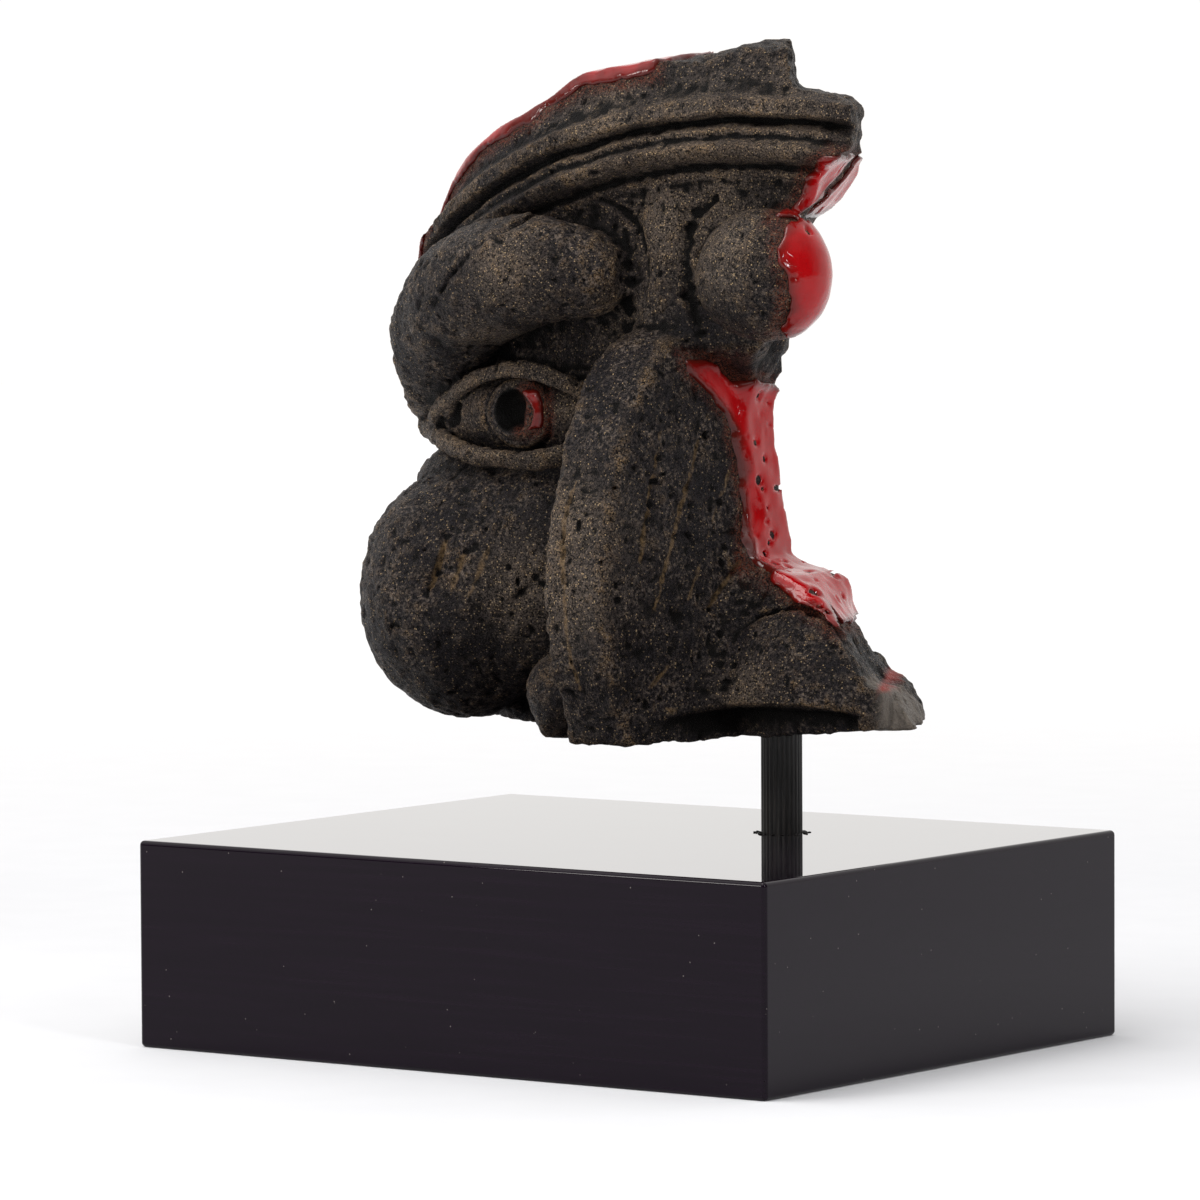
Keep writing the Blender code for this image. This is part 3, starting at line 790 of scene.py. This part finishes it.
def relief_of(mesh, points):
    """How far each point stands out from its surroundings, in millimetres."""
    normals = np.empty(3 * len(mesh.vertices))
    mesh.vertices.foreach_get("normal", normals)
    ends = np.empty(2 * len(mesh.edges), int)
    mesh.edges.foreach_get("vertices", ends)
    ends = ends.reshape(-1, 2)
    count = np.bincount(ends.ravel(), minlength=len(points))
    smooth = points
    for step in range(SMOOTHING_ROUNDS):
        total = np.zeros_like(smooth)
        np.add.at(total, ends[:, 0], smooth[ends[:, 1]])
        np.add.at(total, ends[:, 1], smooth[ends[:, 0]])
        smooth = total / np.maximum(count, 1)[:, None]
    return np.sum((points - smooth) * normals.reshape(-1, 3), axis=1)


clay_points = mesh_points(clay.data)
relief = relief_of(clay.data, clay_points)
print("Crests stand out up to", round(float(np.percentile(relief, 99)), 2), "mm")

# %% Brightened places and painted shade
# Brightened spots: partly rubbed bronze, partly painted light on the forehead, nose strip, brow and eye, where
# they face the lamps.
BRONZE_AND_PAINTED_LIGHT_SPOTS = [(-31, -1, 94.5, 4), (36, -17, 142, 12), (6, 0, 150, 16), (20, 4, 158, 14), (-38, -22, 136, 10),
          (-4, -38, 62, 14), (-4, -39, 44, 14), (36, -10, 13, 9), (-38, -14, 42, 12), (-12, 2, 120, 9),
          (10, 2, 172, 18), (40, 2, 176, 18), (-20, 3, 174, 16), (-52, -10, 112, 10), (-92, 16, 92, 8)]


def bronze_and_painted_light(x, y, z):
    """Up to 1 where the clay is painted brighter: rubbed bronze, and painted light where it faces the lamps."""
    rub = np.zeros_like(x)
    for px, py, pz, reach in BRONZE_AND_PAINTED_LIGHT_SPOTS:
        rub = np.maximum(rub, np.exp(-((x - px)**2 + (y - py)**2 + (z - pz)**2) / reach**2))
    # The lids too: rubbed bronze and painted light along them.
    for lid in (UPPER_LID, LOWER_LID):
        rub = np.maximum(rub, 0.55 * np.exp(-(np.maximum(roll(x, y, z, lid, 0.5), 0) / 1.5)**2))
    return rub


def painted_shade_places(x, y, z):
    """Up to 1 in the pupil and under the nose's rim: painted shade in these hollows."""
    pupil = ramp(1.0, -0.5, egg(x, y, z, PUPIL_MIDDLE, (6.2, 14, 6.6)))
    return np.maximum(pupil, 0.5 * under_rim(x, y, z, 1, 2.5, 20))


print("Rubbed bronze and painted light brighten", len(BRONZE_AND_PAINTED_LIGHT_SPOTS), "places and both lids")


# %% Keep what was measured
def keep_attribute(mesh, name, values):
    """One number for each point of the mesh, for a material to read."""
    layer = mesh.attributes.new(name, "FLOAT", "POINT")
    layer.data.foreach_set("value", np.ascontiguousarray(values, np.float32))


x, y, z = clay_points.T
clay_measures = {
    # The crest is set to 0 in the pupil and under the rim, so the painted shade of the low ground fills them.
    "crest": np.clip(0.5 + relief * 0.75, 0, 1) * (1 - painted_shade_places(x, y, z)),
    "fringe": np.exp(-((glaze_reach(x, y, z) + 1.0) / 1.6)**2),
    "scratch": near_scratch(x, y, z),
    "bare_break": ramp(66, 69, x + 0.2 * y) * ramp(21, 18, z) * ramp(2, 7, y),
    "thin_glaze": ramp(-0.5, 1.5, within(x + 0.6 * y - 76.5, z - 15.5, 24 - z)),
    # Brightened places: rubbed bronze, and painted light where the clay faces the lamps.
    "brightened": bronze_and_painted_light(x, y, z),
}
for name, values in clay_measures.items():
    keep_attribute(clay.data, name, values)
keep_attribute(glaze.data, "pooled", ramp(0.2, 4.0, glaze_reach(*mesh_points(glaze.data).T)))
print("The clay keeps", ", ".join(clay_measures), "and the glaze keeps pooled")

# %% [markdown]
# ## Fired black clay
# The body is stoneware with coarse chamotte, smoked black in the fire. Chamotte is ground fired clay: grains
# of half a millimetre to two that show as a sandy texture. The surface is dry but slightly burnished, so it
# has a broad, weak gleam. Brown and bronze come out on the crests. The colour could be one noise between
# black and brown, but real clay is layered: so each thing that happened to it is one more thin layer, and so
# is each painted light and painted shade: dark hollows and low ground, lighter grain tops, glints and lit
# places.

# %% Clay patterns
CLOUD_SIZE = 12 * MM
GRAIN_SIZE = 1.1 * MM
SAND_SIZE = 0.45 * MM
SPECK_SIZE = 0.5 * MM
DRAG_SIZE = 1.5 * MM
DRAG_STRETCH = 0.15


def new_finish(name):
    """A new material, with its node tree and its shader."""
    finish = bpy.data.materials.new(name)
    finish.use_nodes = True
    return finish, finish.node_tree, finish.node_tree.nodes["Principled BSDF"]


clay_finish, tree, shader = new_finish("fired black clay")
place = add(tree, "ShaderNodeTexCoord").outputs["Object"]
drag_place = add(tree, "ShaderNodeMapping",
                 inputs={"Vector": place, "Scale": (1.0, 1.0, DRAG_STRETCH)}).outputs[0]
NOISES = {
    "clouds": (place, CLOUD_SIZE, 5.0, 0.65),
    "grains": (place, GRAIN_SIZE, 5.0, 0.75),
    "sand": (place, SAND_SIZE, 2.0, 0.5),
    "drag lines": (drag_place, DRAG_SIZE, 4.0, 0.5),
}
pattern = {}
for name, (where, width, detail, roughness) in NOISES.items():
    inputs = {"Vector": where, "Scale": 1 / width, "Detail": detail, "Roughness": roughness}
    pattern[name] = add(tree, "ShaderNodeTexNoise", inputs=inputs).outputs[0]
for name in clay_measures:
    pattern[name] = add(tree, "ShaderNodeAttribute", {"attribute_name": name}).outputs["Fac"]
specks = add(tree, "ShaderNodeTexVoronoi", inputs={"Vector": place, "Scale": 1 / SPECK_SIZE})
speck_choice = add(tree, "ShaderNodeSeparateColor", inputs={0: specks.outputs["Color"]})
pattern["speck distance"] = specks.outputs["Distance"]
pattern["speck tone"] = speck_choice.outputs[1]
# Specks gather a little more in the brightened places, which are partly painted light.
pattern["speck chance"] = add(tree, "ShaderNodeMath", {"operation": "MULTIPLY_ADD"},
                              {0: pattern["brightened"], 1: 0.2, 2: speck_choice.outputs[0]}).outputs[0]
print("Clay grain in millimetres:", GRAIN_SIZE / MM)

# %% Clay ranges
CLAY_RANGES = {
    "dusty": ("sand", 0.4, 0.6),
    "broad tone": ("clouds", 0.38, 0.66),
    # Where the grain noise is high the bump is high too: these grain tops are painted lighter, partly the
    # chamotte's own tone, partly painted light.
    "gritty": ("grains", 0.5, 0.63, 0.0, 0.95),
    # Where the grain noise is low the bump is low too: these hollows take a painted shade.
    "pitted": ("grains", 0.45, 0.38),
    "high ground": ("crest", 0.62, 1.0, 0.0, 0.6),
    "patchy": ("sand", 0.45, 0.6),
    "cloudy": ("clouds", 0.42, 0.62, 0.12, 1.0),
    "speck here": ("speck chance", 0.84, 1.0),
    "speck dot": ("speck distance", 0.5, 0.3),
    # Low ground takes a painted shade.
    "low ground": ("crest", 0.47, 0.25),
    "thin line": ("scratch", 0.78, 0.97),
    "worn line": ("grains", 0.4, 0.6, 0.1, 0.8),
    "fresh": ("bare_break", 0.0, 1.0, 0.0, 0.7),
    "burnish": ("sand", 0.35, 0.65, 0.6, 0.3),
}
for name, (source, *limits) in CLAY_RANGES.items():
    pattern[name] = add(tree, "ShaderNodeMapRange",
                        inputs={0: pattern[source], **dict(enumerate(limits, 1))}).outputs[0]
print("Patterns to paint the clay with:", len(pattern))

# %% Clay colour
CLAY_TONES = {
    "body": ("dusty", "#040304", "#292428"),
    "grit": ("broad tone", "#0D0B0D", "#84766B"),
    "speck": ("speck tone", "#7A6E66", "#D0B286"),
    "fresh clay": ("drag lines", "#26221F", "#B3A89C"),
}
CLAY_LAYERS = [
    # Grain tops painted lighter: partly the chamotte's tone, partly painted light on the raised grains.
    ("sandy grit, painted lighter on grain tops", "grit", ["gritty"]),
    # Brightened places: rubbed bronze, and painted light where the clay faces the lamps.
    ("rubbed bronze and painted light", "#6E6156", ["brightened", "dusty"]),
    # Painted shade in the hollows of the grain's bump.
    ("painted shade in the grain's hollows", "#020101", ["pitted"]),
    ("bronze on the crests", "#A08058", ["high ground", "patchy", "cloudy"]),
    # Chamotte specks, painted bright enough to stand in for glints on lit grains too.
    ("chamotte specks and painted glints", "speck", ["speck here", "speck dot"]),
    # Painted shade in low ground, in the pupil and under the nose's rim.
    ("painted shade in low ground", "#050302", ["low ground"]),
    ("scratches", "#8A7050", ["thin line", "worn line"]),
    ("copper stain round the glaze", "#6B3524", ["fringe", "patchy"]),
    ("grey clay on the fresh break", "fresh clay", ["fresh"]),
    ("thin glaze on the stump", "#A63A30", ["thin_glaze"]),
]
tone = {}
for name, (amount, dark, light) in CLAY_TONES.items():
    tone[name] = add(tree, "ShaderNodeMix", {"data_type": "RGBA"},
                     {0: pattern[amount], 6: linear(dark), 7: linear(light)}).outputs[2]
clay_colour = tone["body"]
for what, colour, shares in CLAY_LAYERS:
    amount = pattern[shares[0]]
    for share in shares[1:]:
        amount = add(tree, "ShaderNodeMath", {"operation": "MULTIPLY"},
                     {0: amount, 1: pattern[share]}).outputs[0]
    over = tone[colour] if colour in tone else linear(colour)
    clay_colour = add(tree, "ShaderNodeMix", {"data_type": "RGBA"},
                      {0: amount, 6: clay_colour, 7: over}).outputs[2]
tree.links.new(clay_colour, shader.inputs["Base Color"])
print("Over the black body lie", ", ".join(what for what, colour, shares in CLAY_LAYERS))

# %% Clay gloss and grain
tree.links.new(pattern["burnish"], shader.inputs["Roughness"])
shader.inputs["IOR"].default_value = 1.5
shader.inputs["Specular IOR Level"].default_value = 0.14
grain_bump = add(tree, "ShaderNodeBump", inputs={"Height": pattern["grains"], "Distance": 1.6 * MM,
                                                 "Strength": 1.0})
sand_bump = add(tree, "ShaderNodeBump", inputs={"Height": pattern["sand"], "Distance": 0.5 * MM,
                                                "Strength": 1.0, "Normal": grain_bump.outputs[0]})
tree.links.new(sand_bump.outputs[0], shader.inputs["Normal"])
clay.data.materials.clear()
clay.data.materials.append(clay_finish)
print("Nodes in the clay's finish:", len(tree.nodes))

# %% [markdown]
# ## Crimson glaze
# A copper-red glaze: glass, coloured deep red, with a mirror-smooth surface. Where it thins out over the
# clay it turns coppery brown. It could be made see-through, but over black clay a thick red glass shows no
# depth, and a solid red under a smooth clear surface gives the eye the same thing.

# %% Glaze material
glaze_finish, tree, shader = new_finish("crimson copper glaze")
place = add(tree, "ShaderNodeTexCoord").outputs["Object"]
pooled = add(tree, "ShaderNodeAttribute", {"attribute_name": "pooled"}).outputs["Fac"]
POOL_SIZE = 6 * MM
CRACKLE_SIZE = 2.4 * MM
pools = add(tree, "ShaderNodeTexNoise",
            inputs={"Vector": place, "Scale": 1 / POOL_SIZE, "Detail": 4.0}).outputs[0]
crackle = add(tree, "ShaderNodeTexVoronoi", {"feature": "DISTANCE_TO_EDGE"},
              {"Vector": place, "Scale": 1 / CRACKLE_SIZE}).outputs["Distance"]
red = add(tree, "ShaderNodeMix", {"data_type": "RGBA"},
          {0: pools, 6: linear("#8C0206"), 7: linear("#AC040B")}).outputs[2]
thin_or_red = add(tree, "ShaderNodeMix", {"data_type": "RGBA"},
                  {0: pooled, 6: linear("#4A120C"), 7: red}).outputs[2]
tree.links.new(thin_or_red, shader.inputs["Base Color"])
melt = add(tree, "ShaderNodeMapRange", inputs={0: pools, 1: 0.3, 2: 0.7, 3: 0.05, 4: 0.13}).outputs[0]
tree.links.new(melt, shader.inputs["Roughness"])
shader.inputs["IOR"].default_value = 1.38
crack_line = add(tree, "ShaderNodeMapRange", inputs={0: crackle, 1: 0.0, 2: 0.05}).outputs[0]
crack_bump = add(tree, "ShaderNodeBump", inputs={"Height": crack_line, "Distance": 0.04 * MM, "Strength": 0.4})
wave_bump = add(tree, "ShaderNodeBump", inputs={"Height": pools, "Distance": 0.15 * MM, "Strength": 0.4,
                                                "Normal": crack_bump.outputs[0]})
tree.links.new(wave_bump.outputs[0], shader.inputs["Normal"])
glaze.data.materials.clear()
glaze.data.materials.append(glaze_finish)
print("Glaze crackle in millimetres:", CRACKLE_SIZE / MM)

# %% [markdown]
# ## The fluted dowel
# A joinery dowel of beech, pressed through a die that leaves fine ribs along it, then painted matt black.
# The ribs follow a rule, so Geometry Nodes draw one ring whose radius dips between the ribs, and sweep it
# along a line.

# %% Dowel sizes
DOWEL_MIDDLE = (0.0334, 0.0296)
DOWEL_DIAMETER = 0.012
DOWEL_BOTTOM = 0.0303
DOWEL_TOP = 0.1127
FLUTES = 26
FLUTE_DEPTH = 0.00045
print("Ribs are", round(np.pi * DOWEL_DIAMETER / FLUTES / MM, 2), "mm apart")


# %% Matt paint
paint_finish, tree, shader = new_finish("matt black paint on beech")
place = add(tree, "ShaderNodeTexCoord").outputs["Object"]
GRAIN_LENGTH = 9 * MM
GRAIN_WIDTH = 0.6 * MM
grain_scale = (1 / GRAIN_WIDTH, 1 / GRAIN_WIDTH, 1 / GRAIN_LENGTH)
along_grain = add(tree, "ShaderNodeMapping", inputs={"Vector": place, "Scale": grain_scale}).outputs[0]
wood_grain = add(tree, "ShaderNodeTexNoise",
                 inputs={"Vector": along_grain, "Scale": 1.0, "Detail": 4.0}).outputs[0]
brightened = add(tree, "ShaderNodeMapRange", inputs={0: wood_grain, 1: 0.5, 2: 0.8}).outputs[0]
paint_colour = add(tree, "ShaderNodeMix", {"data_type": "RGBA"},
                   {0: brightened, 6: linear("#0E0B0B"), 7: linear("#352C28")}).outputs[2]
tree.links.new(paint_colour, shader.inputs["Base Color"])
shader.inputs["Roughness"].default_value = 0.45
paint_bump = add(tree, "ShaderNodeBump", inputs={"Height": wood_grain, "Distance": 0.15 * MM, "Strength": 0.6})
tree.links.new(paint_bump.outputs[0], shader.inputs["Normal"])
print("Wood grain in millimetres:", GRAIN_WIDTH / MM, "by", GRAIN_LENGTH / MM)


# %% Tools for trees
def new_tree(name, sizes):
    """An empty geometry tree with named size inputs."""
    tree = bpy.data.node_groups.new(name, "GeometryNodeTree")
    for size_name, value in sizes.items():
        kind = "NodeSocketInt" if isinstance(value, int) else "NodeSocketFloat"
        tree.interface.new_socket(size_name, in_out="INPUT", socket_type=kind)
    tree.interface.new_socket("Geometry", in_out="OUTPUT", socket_type="NodeSocketGeometry")
    return tree, tree.nodes.new("NodeGroupInput").outputs


def close_tree(tree, geometry, finish):
    """End a tree with real geometry and its material."""
    real = add(tree, "GeometryNodeRealizeInstances", inputs={0: geometry})
    dressed = add(tree, "GeometryNodeSetMaterial", inputs={"Geometry": real.outputs[0], "Material": finish})
    add(tree, "NodeGroupOutput", inputs={0: dressed.outputs[0]})


def grow(tree, name, sizes):
    """Run a tree on an empty mesh and keep what it makes as a plain mesh."""
    item = bpy.data.objects.new(name + " seed", bpy.data.meshes.new(name + " seed"))
    bpy.context.scene.collection.objects.link(item)
    modifier = item.modifiers.new("nodes", "NODES")
    modifier.node_group = tree
    for socket in tree.interface.items_tree:
        if socket.in_out == "INPUT":
            modifier[socket.identifier] = sizes[socket.name]
    item = plain_mesh(item, name)
    print(name, "has", len(item.data.polygons), "faces")
    return item


DOWEL_SIZES = {"Diameter": DOWEL_DIAMETER, "Bottom": DOWEL_BOTTOM, "Top": DOWEL_TOP, "Flutes": FLUTES,
               "Flute Depth": FLUTE_DEPTH, "X": DOWEL_MIDDLE[0], "Y": DOWEL_MIDDLE[1]}
print("The dowel is drawn from", ", ".join(DOWEL_SIZES))

# %% Dowel tree
POINTS_PER_FLUTE = 8.0
RIB_STEPS = [
    ("Radius", "MULTIPLY", "Diameter", 0.5),
    ("Ring Points", "MULTIPLY", "Flutes", POINTS_PER_FLUTE),
    ("Ribs So Far", "MULTIPLY", "Turn", "Flutes"),
    ("Angle", "MULTIPLY", "Ribs So Far", np.pi),
    ("Wave", "SINE", "Angle"),
    ("Rib", "ABSOLUTE", "Wave"),
    ("Dip", "SUBTRACT", 1.0, "Rib"),
    ("Dip Size", "MULTIPLY", "Dip", "Flute Depth"),
    ("Dip Share", "DIVIDE", "Dip Size", "Radius"),
    ("Shrink", "SUBTRACT", 1.0, "Dip Share"),
]
dowel_tree, size = new_tree("fluted dowel", DOWEL_SIZES)
value = {name: size[name] for name in DOWEL_SIZES}
value["Turn"] = add(dowel_tree, "GeometryNodeSplineParameter").outputs["Factor"]
for name, operation, *terms in RIB_STEPS:
    inputs = {index: value.get(term, term) for index, term in enumerate(terms)}
    value[name] = add(dowel_tree, "ShaderNodeMath", {"operation": operation}, inputs).outputs[0]
ring = add(dowel_tree, "GeometryNodeCurvePrimitiveCircle", {"mode": "RADIUS"},
           {"Resolution": value["Ring Points"], "Radius": value["Radius"]}).outputs[0]
at = add(dowel_tree, "GeometryNodeInputPosition").outputs[0]
drawn_in = add(dowel_tree, "ShaderNodeVectorMath", {"operation": "SCALE"},
               {0: at, "Scale": value["Shrink"]}).outputs[0]
fluted = add(dowel_tree, "GeometryNodeSetPosition", inputs={"Geometry": ring, "Position": drawn_in}).outputs[0]
foot, head = [add(dowel_tree, "ShaderNodeCombineXYZ",
                  inputs={0: size["X"], 1: size["Y"], 2: size[level]}).outputs[0]
              for level in ("Bottom", "Top")]
line = add(dowel_tree, "GeometryNodeCurvePrimitiveLine", inputs={"Start": foot, "End": head}).outputs[0]
swept = add(dowel_tree, "GeometryNodeCurveToMesh",
            inputs={"Curve": line, "Profile Curve": fluted, "Fill Caps": True}).outputs[0]
close_tree(dowel_tree, swept, paint_finish)
dowel = grow(dowel_tree, "fluted_dowel", DOWEL_SIZES)

# %% [markdown]
# ## The lacquered plinth
# A block of wood, filled, lacquered black in several coats and polished until it mirrors. Its edges are
# rounded a little over a millimetre, which is what draws the bright lines on them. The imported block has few
# facets there, so a block with finer rounding stands in for it, with the same socket for the dowel.

# %% Plinth
PLINTH = (0.220, 0.180, 0.060)
EDGE_ROUND = 0.0014
EDGE_SEGMENTS = 7
SOCKET_DEPTH = 0.030
SOCKET_DIAMETER = 0.0126

bpy.ops.mesh.primitive_cube_add(size=1, location=(0, 0, PLINTH[2] / 2))
block = bpy.context.object
block.scale = PLINTH
bpy.ops.object.transform_apply(location=True, rotation=False, scale=True)
rounding = block.modifiers.new("rounded edges", "BEVEL")
rounding.width = EDGE_ROUND
rounding.segments = EDGE_SEGMENTS
bpy.ops.mesh.primitive_cylinder_add(vertices=64, radius=SOCKET_DIAMETER / 2, depth=2 * SOCKET_DEPTH,
                                    location=(*DOWEL_MIDDLE, PLINTH[2]))
drill = bpy.context.object
socket_cut = block.modifiers.new("socket", "BOOLEAN")
socket_cut.operation = "DIFFERENCE"
socket_cut.solver = "EXACT"
socket_cut.object = drill
plinth = plain_mesh(block, "lacquered_plinth")
bpy.data.objects.remove(drill)
plinth.data.polygons.foreach_set("use_smooth", np.ones(len(plinth.data.polygons), bool))
plinth.data.set_sharp_from_angle(angle=np.radians(35))
even = plinth.modifiers.new("even shading", "WEIGHTED_NORMAL")
even.keep_sharp = True
plinth = plain_mesh(plinth, "lacquered_plinth")
print("Plinth has", len(plinth.data.polygons), "faces")

# %% [markdown]
# ## Black lacquer
# Polished lacquer is black under a clear, smooth skin. Seen steeply it is nearly black, and seen along its
# surface it is a mirror, which is why the top looks white. Fine dust, wiping streaks and a faint unevenness
# keep it from looking like glass.

# %% Lacquer material
lacquer_finish, tree, shader = new_finish("polished black lacquer")
place = add(tree, "ShaderNodeTexCoord").outputs["Object"]
STREAK = (60 * MM, 1.5 * MM, 1.5 * MM)
SMUDGE_SIZE = 30 * MM
DUST_SPACING = 5 * MM
along = add(tree, "ShaderNodeMapping",
            inputs={"Vector": place, "Scale": [1 / part for part in STREAK]}).outputs[0]
streaks = add(tree, "ShaderNodeTexNoise", inputs={"Vector": along, "Scale": 1.0, "Detail": 3.0}).outputs[0]
smudges = add(tree, "ShaderNodeTexNoise",
              inputs={"Vector": place, "Scale": 1 / SMUDGE_SIZE, "Detail": 3.0}).outputs[0]
dust = add(tree, "ShaderNodeTexVoronoi",
           inputs={"Vector": place, "Scale": 1 / DUST_SPACING}).outputs["Distance"]
dust_spot = add(tree, "ShaderNodeMapRange", inputs={0: dust, 1: 0.05, 2: 0.02}).outputs[0]
streak_amount = add(tree, "ShaderNodeMapRange",
                    inputs={0: streaks, 1: 0.45, 2: 0.75, 3: 0.0, 4: 0.5}).outputs[0]
hazy = add(tree, "ShaderNodeMix", {"data_type": "RGBA"},
           {0: streak_amount, 6: linear("#0E0410"), 7: linear("#180A1A")}).outputs[2]
dusty = add(tree, "ShaderNodeMix", {"data_type": "RGBA"},
            {0: dust_spot, 6: hazy, 7: linear("#6F6866")}).outputs[2]
tree.links.new(dusty, shader.inputs["Base Color"])
polish = add(tree, "ShaderNodeMapRange", inputs={0: smudges, 1: 0.35, 2: 0.7, 3: 0.02, 4: 0.05}).outputs[0]
tree.links.new(polish, shader.inputs["Roughness"])
shader.inputs["IOR"].default_value = 1.16
shader.inputs["Coat Weight"].default_value = 1.0
shader.inputs["Coat IOR"].default_value = 1.17
shader.inputs["Coat Roughness"].default_value = 0.02
flow_bump = add(tree, "ShaderNodeBump", inputs={"Height": smudges, "Distance": 0.12 * MM, "Strength": 0.3})
tree.links.new(flow_bump.outputs[0], shader.inputs["Normal"])
plinth.data.materials.clear()
plinth.data.materials.append(lacquer_finish)
print("Dust specks about", DUST_SPACING / MM, "mm apart")

# %% [markdown]
# ## Crumbs at the dowel's foot
# Where the dowel meets the block, dried paint and glue have left a ring of small crumbs. They are many and
# random, so Geometry Nodes scatter them: points on a ring, a low stone on each, turned and sized at random
# from a fixed seed.

# %% Crumbs
CRUMB_SIZES = {"Count": 70, "Ring": 0.0066, "Spread": 0.0016, "Crumb": 0.00042, "Level": PLINTH[2] + 0.0001,
               "X": DOWEL_MIDDLE[0], "Y": DOWEL_MIDDLE[1]}
CRUMB_STEPS = [
    ("Squared", "POWER", "Out", 2.0),
    ("Drift", "MULTIPLY", "Squared", "Spread"),
    ("Far", "ADD", "Drift", "Ring"),
    ("Cosine", "COSINE", "Spin"),
    ("Sine", "SINE", "Spin"),
    ("Crumb X", "MULTIPLY_ADD", "Cosine", "Far", "X"),
    ("Crumb Y", "MULTIPLY_ADD", "Sine", "Far", "Y"),
]
crumb_tree, size = new_tree("crumbs", CRUMB_SIZES)
value = {name: size[name] for name in CRUMB_SIZES}
for name, most, seed in (("Spin", 6.2832, 4), ("Out", 1.0, 5)):
    value[name] = add(crumb_tree, "FunctionNodeRandomValue", {"data_type": "FLOAT"},
                      {2: 0.0, 3: most, "Seed": seed}).outputs[1]
for name, operation, *terms in CRUMB_STEPS:
    inputs = {index: value.get(term, term) for index, term in enumerate(terms)}
    value[name] = add(crumb_tree, "ShaderNodeMath", {"operation": operation}, inputs).outputs[0]
spot = add(crumb_tree, "ShaderNodeCombineXYZ",
           inputs={0: value["Crumb X"], 1: value["Crumb Y"], 2: size["Level"]}).outputs[0]
points = add(crumb_tree, "GeometryNodePoints", inputs={"Count": size["Count"], "Position": spot}).outputs[0]
stone = add(crumb_tree, "GeometryNodeMeshIcoSphere",
            inputs={"Radius": size["Crumb"], "Subdivisions": 2}).outputs[0]
turned = add(crumb_tree, "FunctionNodeRandomValue", {"data_type": "FLOAT_VECTOR"},
             {0: (0, 0, 0), 1: (0.5, 0.5, 6.28), "Seed": 6}).outputs[0]
sized = add(crumb_tree, "FunctionNodeRandomValue", {"data_type": "FLOAT_VECTOR"},
            {0: (0.5, 0.5, 0.35), 1: (1.6, 1.3, 0.9), "Seed": 7}).outputs[0]
scattered = add(crumb_tree, "GeometryNodeInstanceOnPoints",
                inputs={"Points": points, "Instance": stone, "Rotation": turned, "Scale": sized}).outputs[0]
close_tree(crumb_tree, scattered, paint_finish)
crumbs = grow(crumb_tree, "paint_crumbs", CRUMB_SIZES)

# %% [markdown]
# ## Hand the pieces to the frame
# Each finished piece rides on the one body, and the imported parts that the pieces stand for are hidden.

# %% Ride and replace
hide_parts("face_fragment")
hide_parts("dowel")
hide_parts("plinth")
for piece in (clay, glaze, dowel, plinth, crumbs):
    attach(piece, "root")
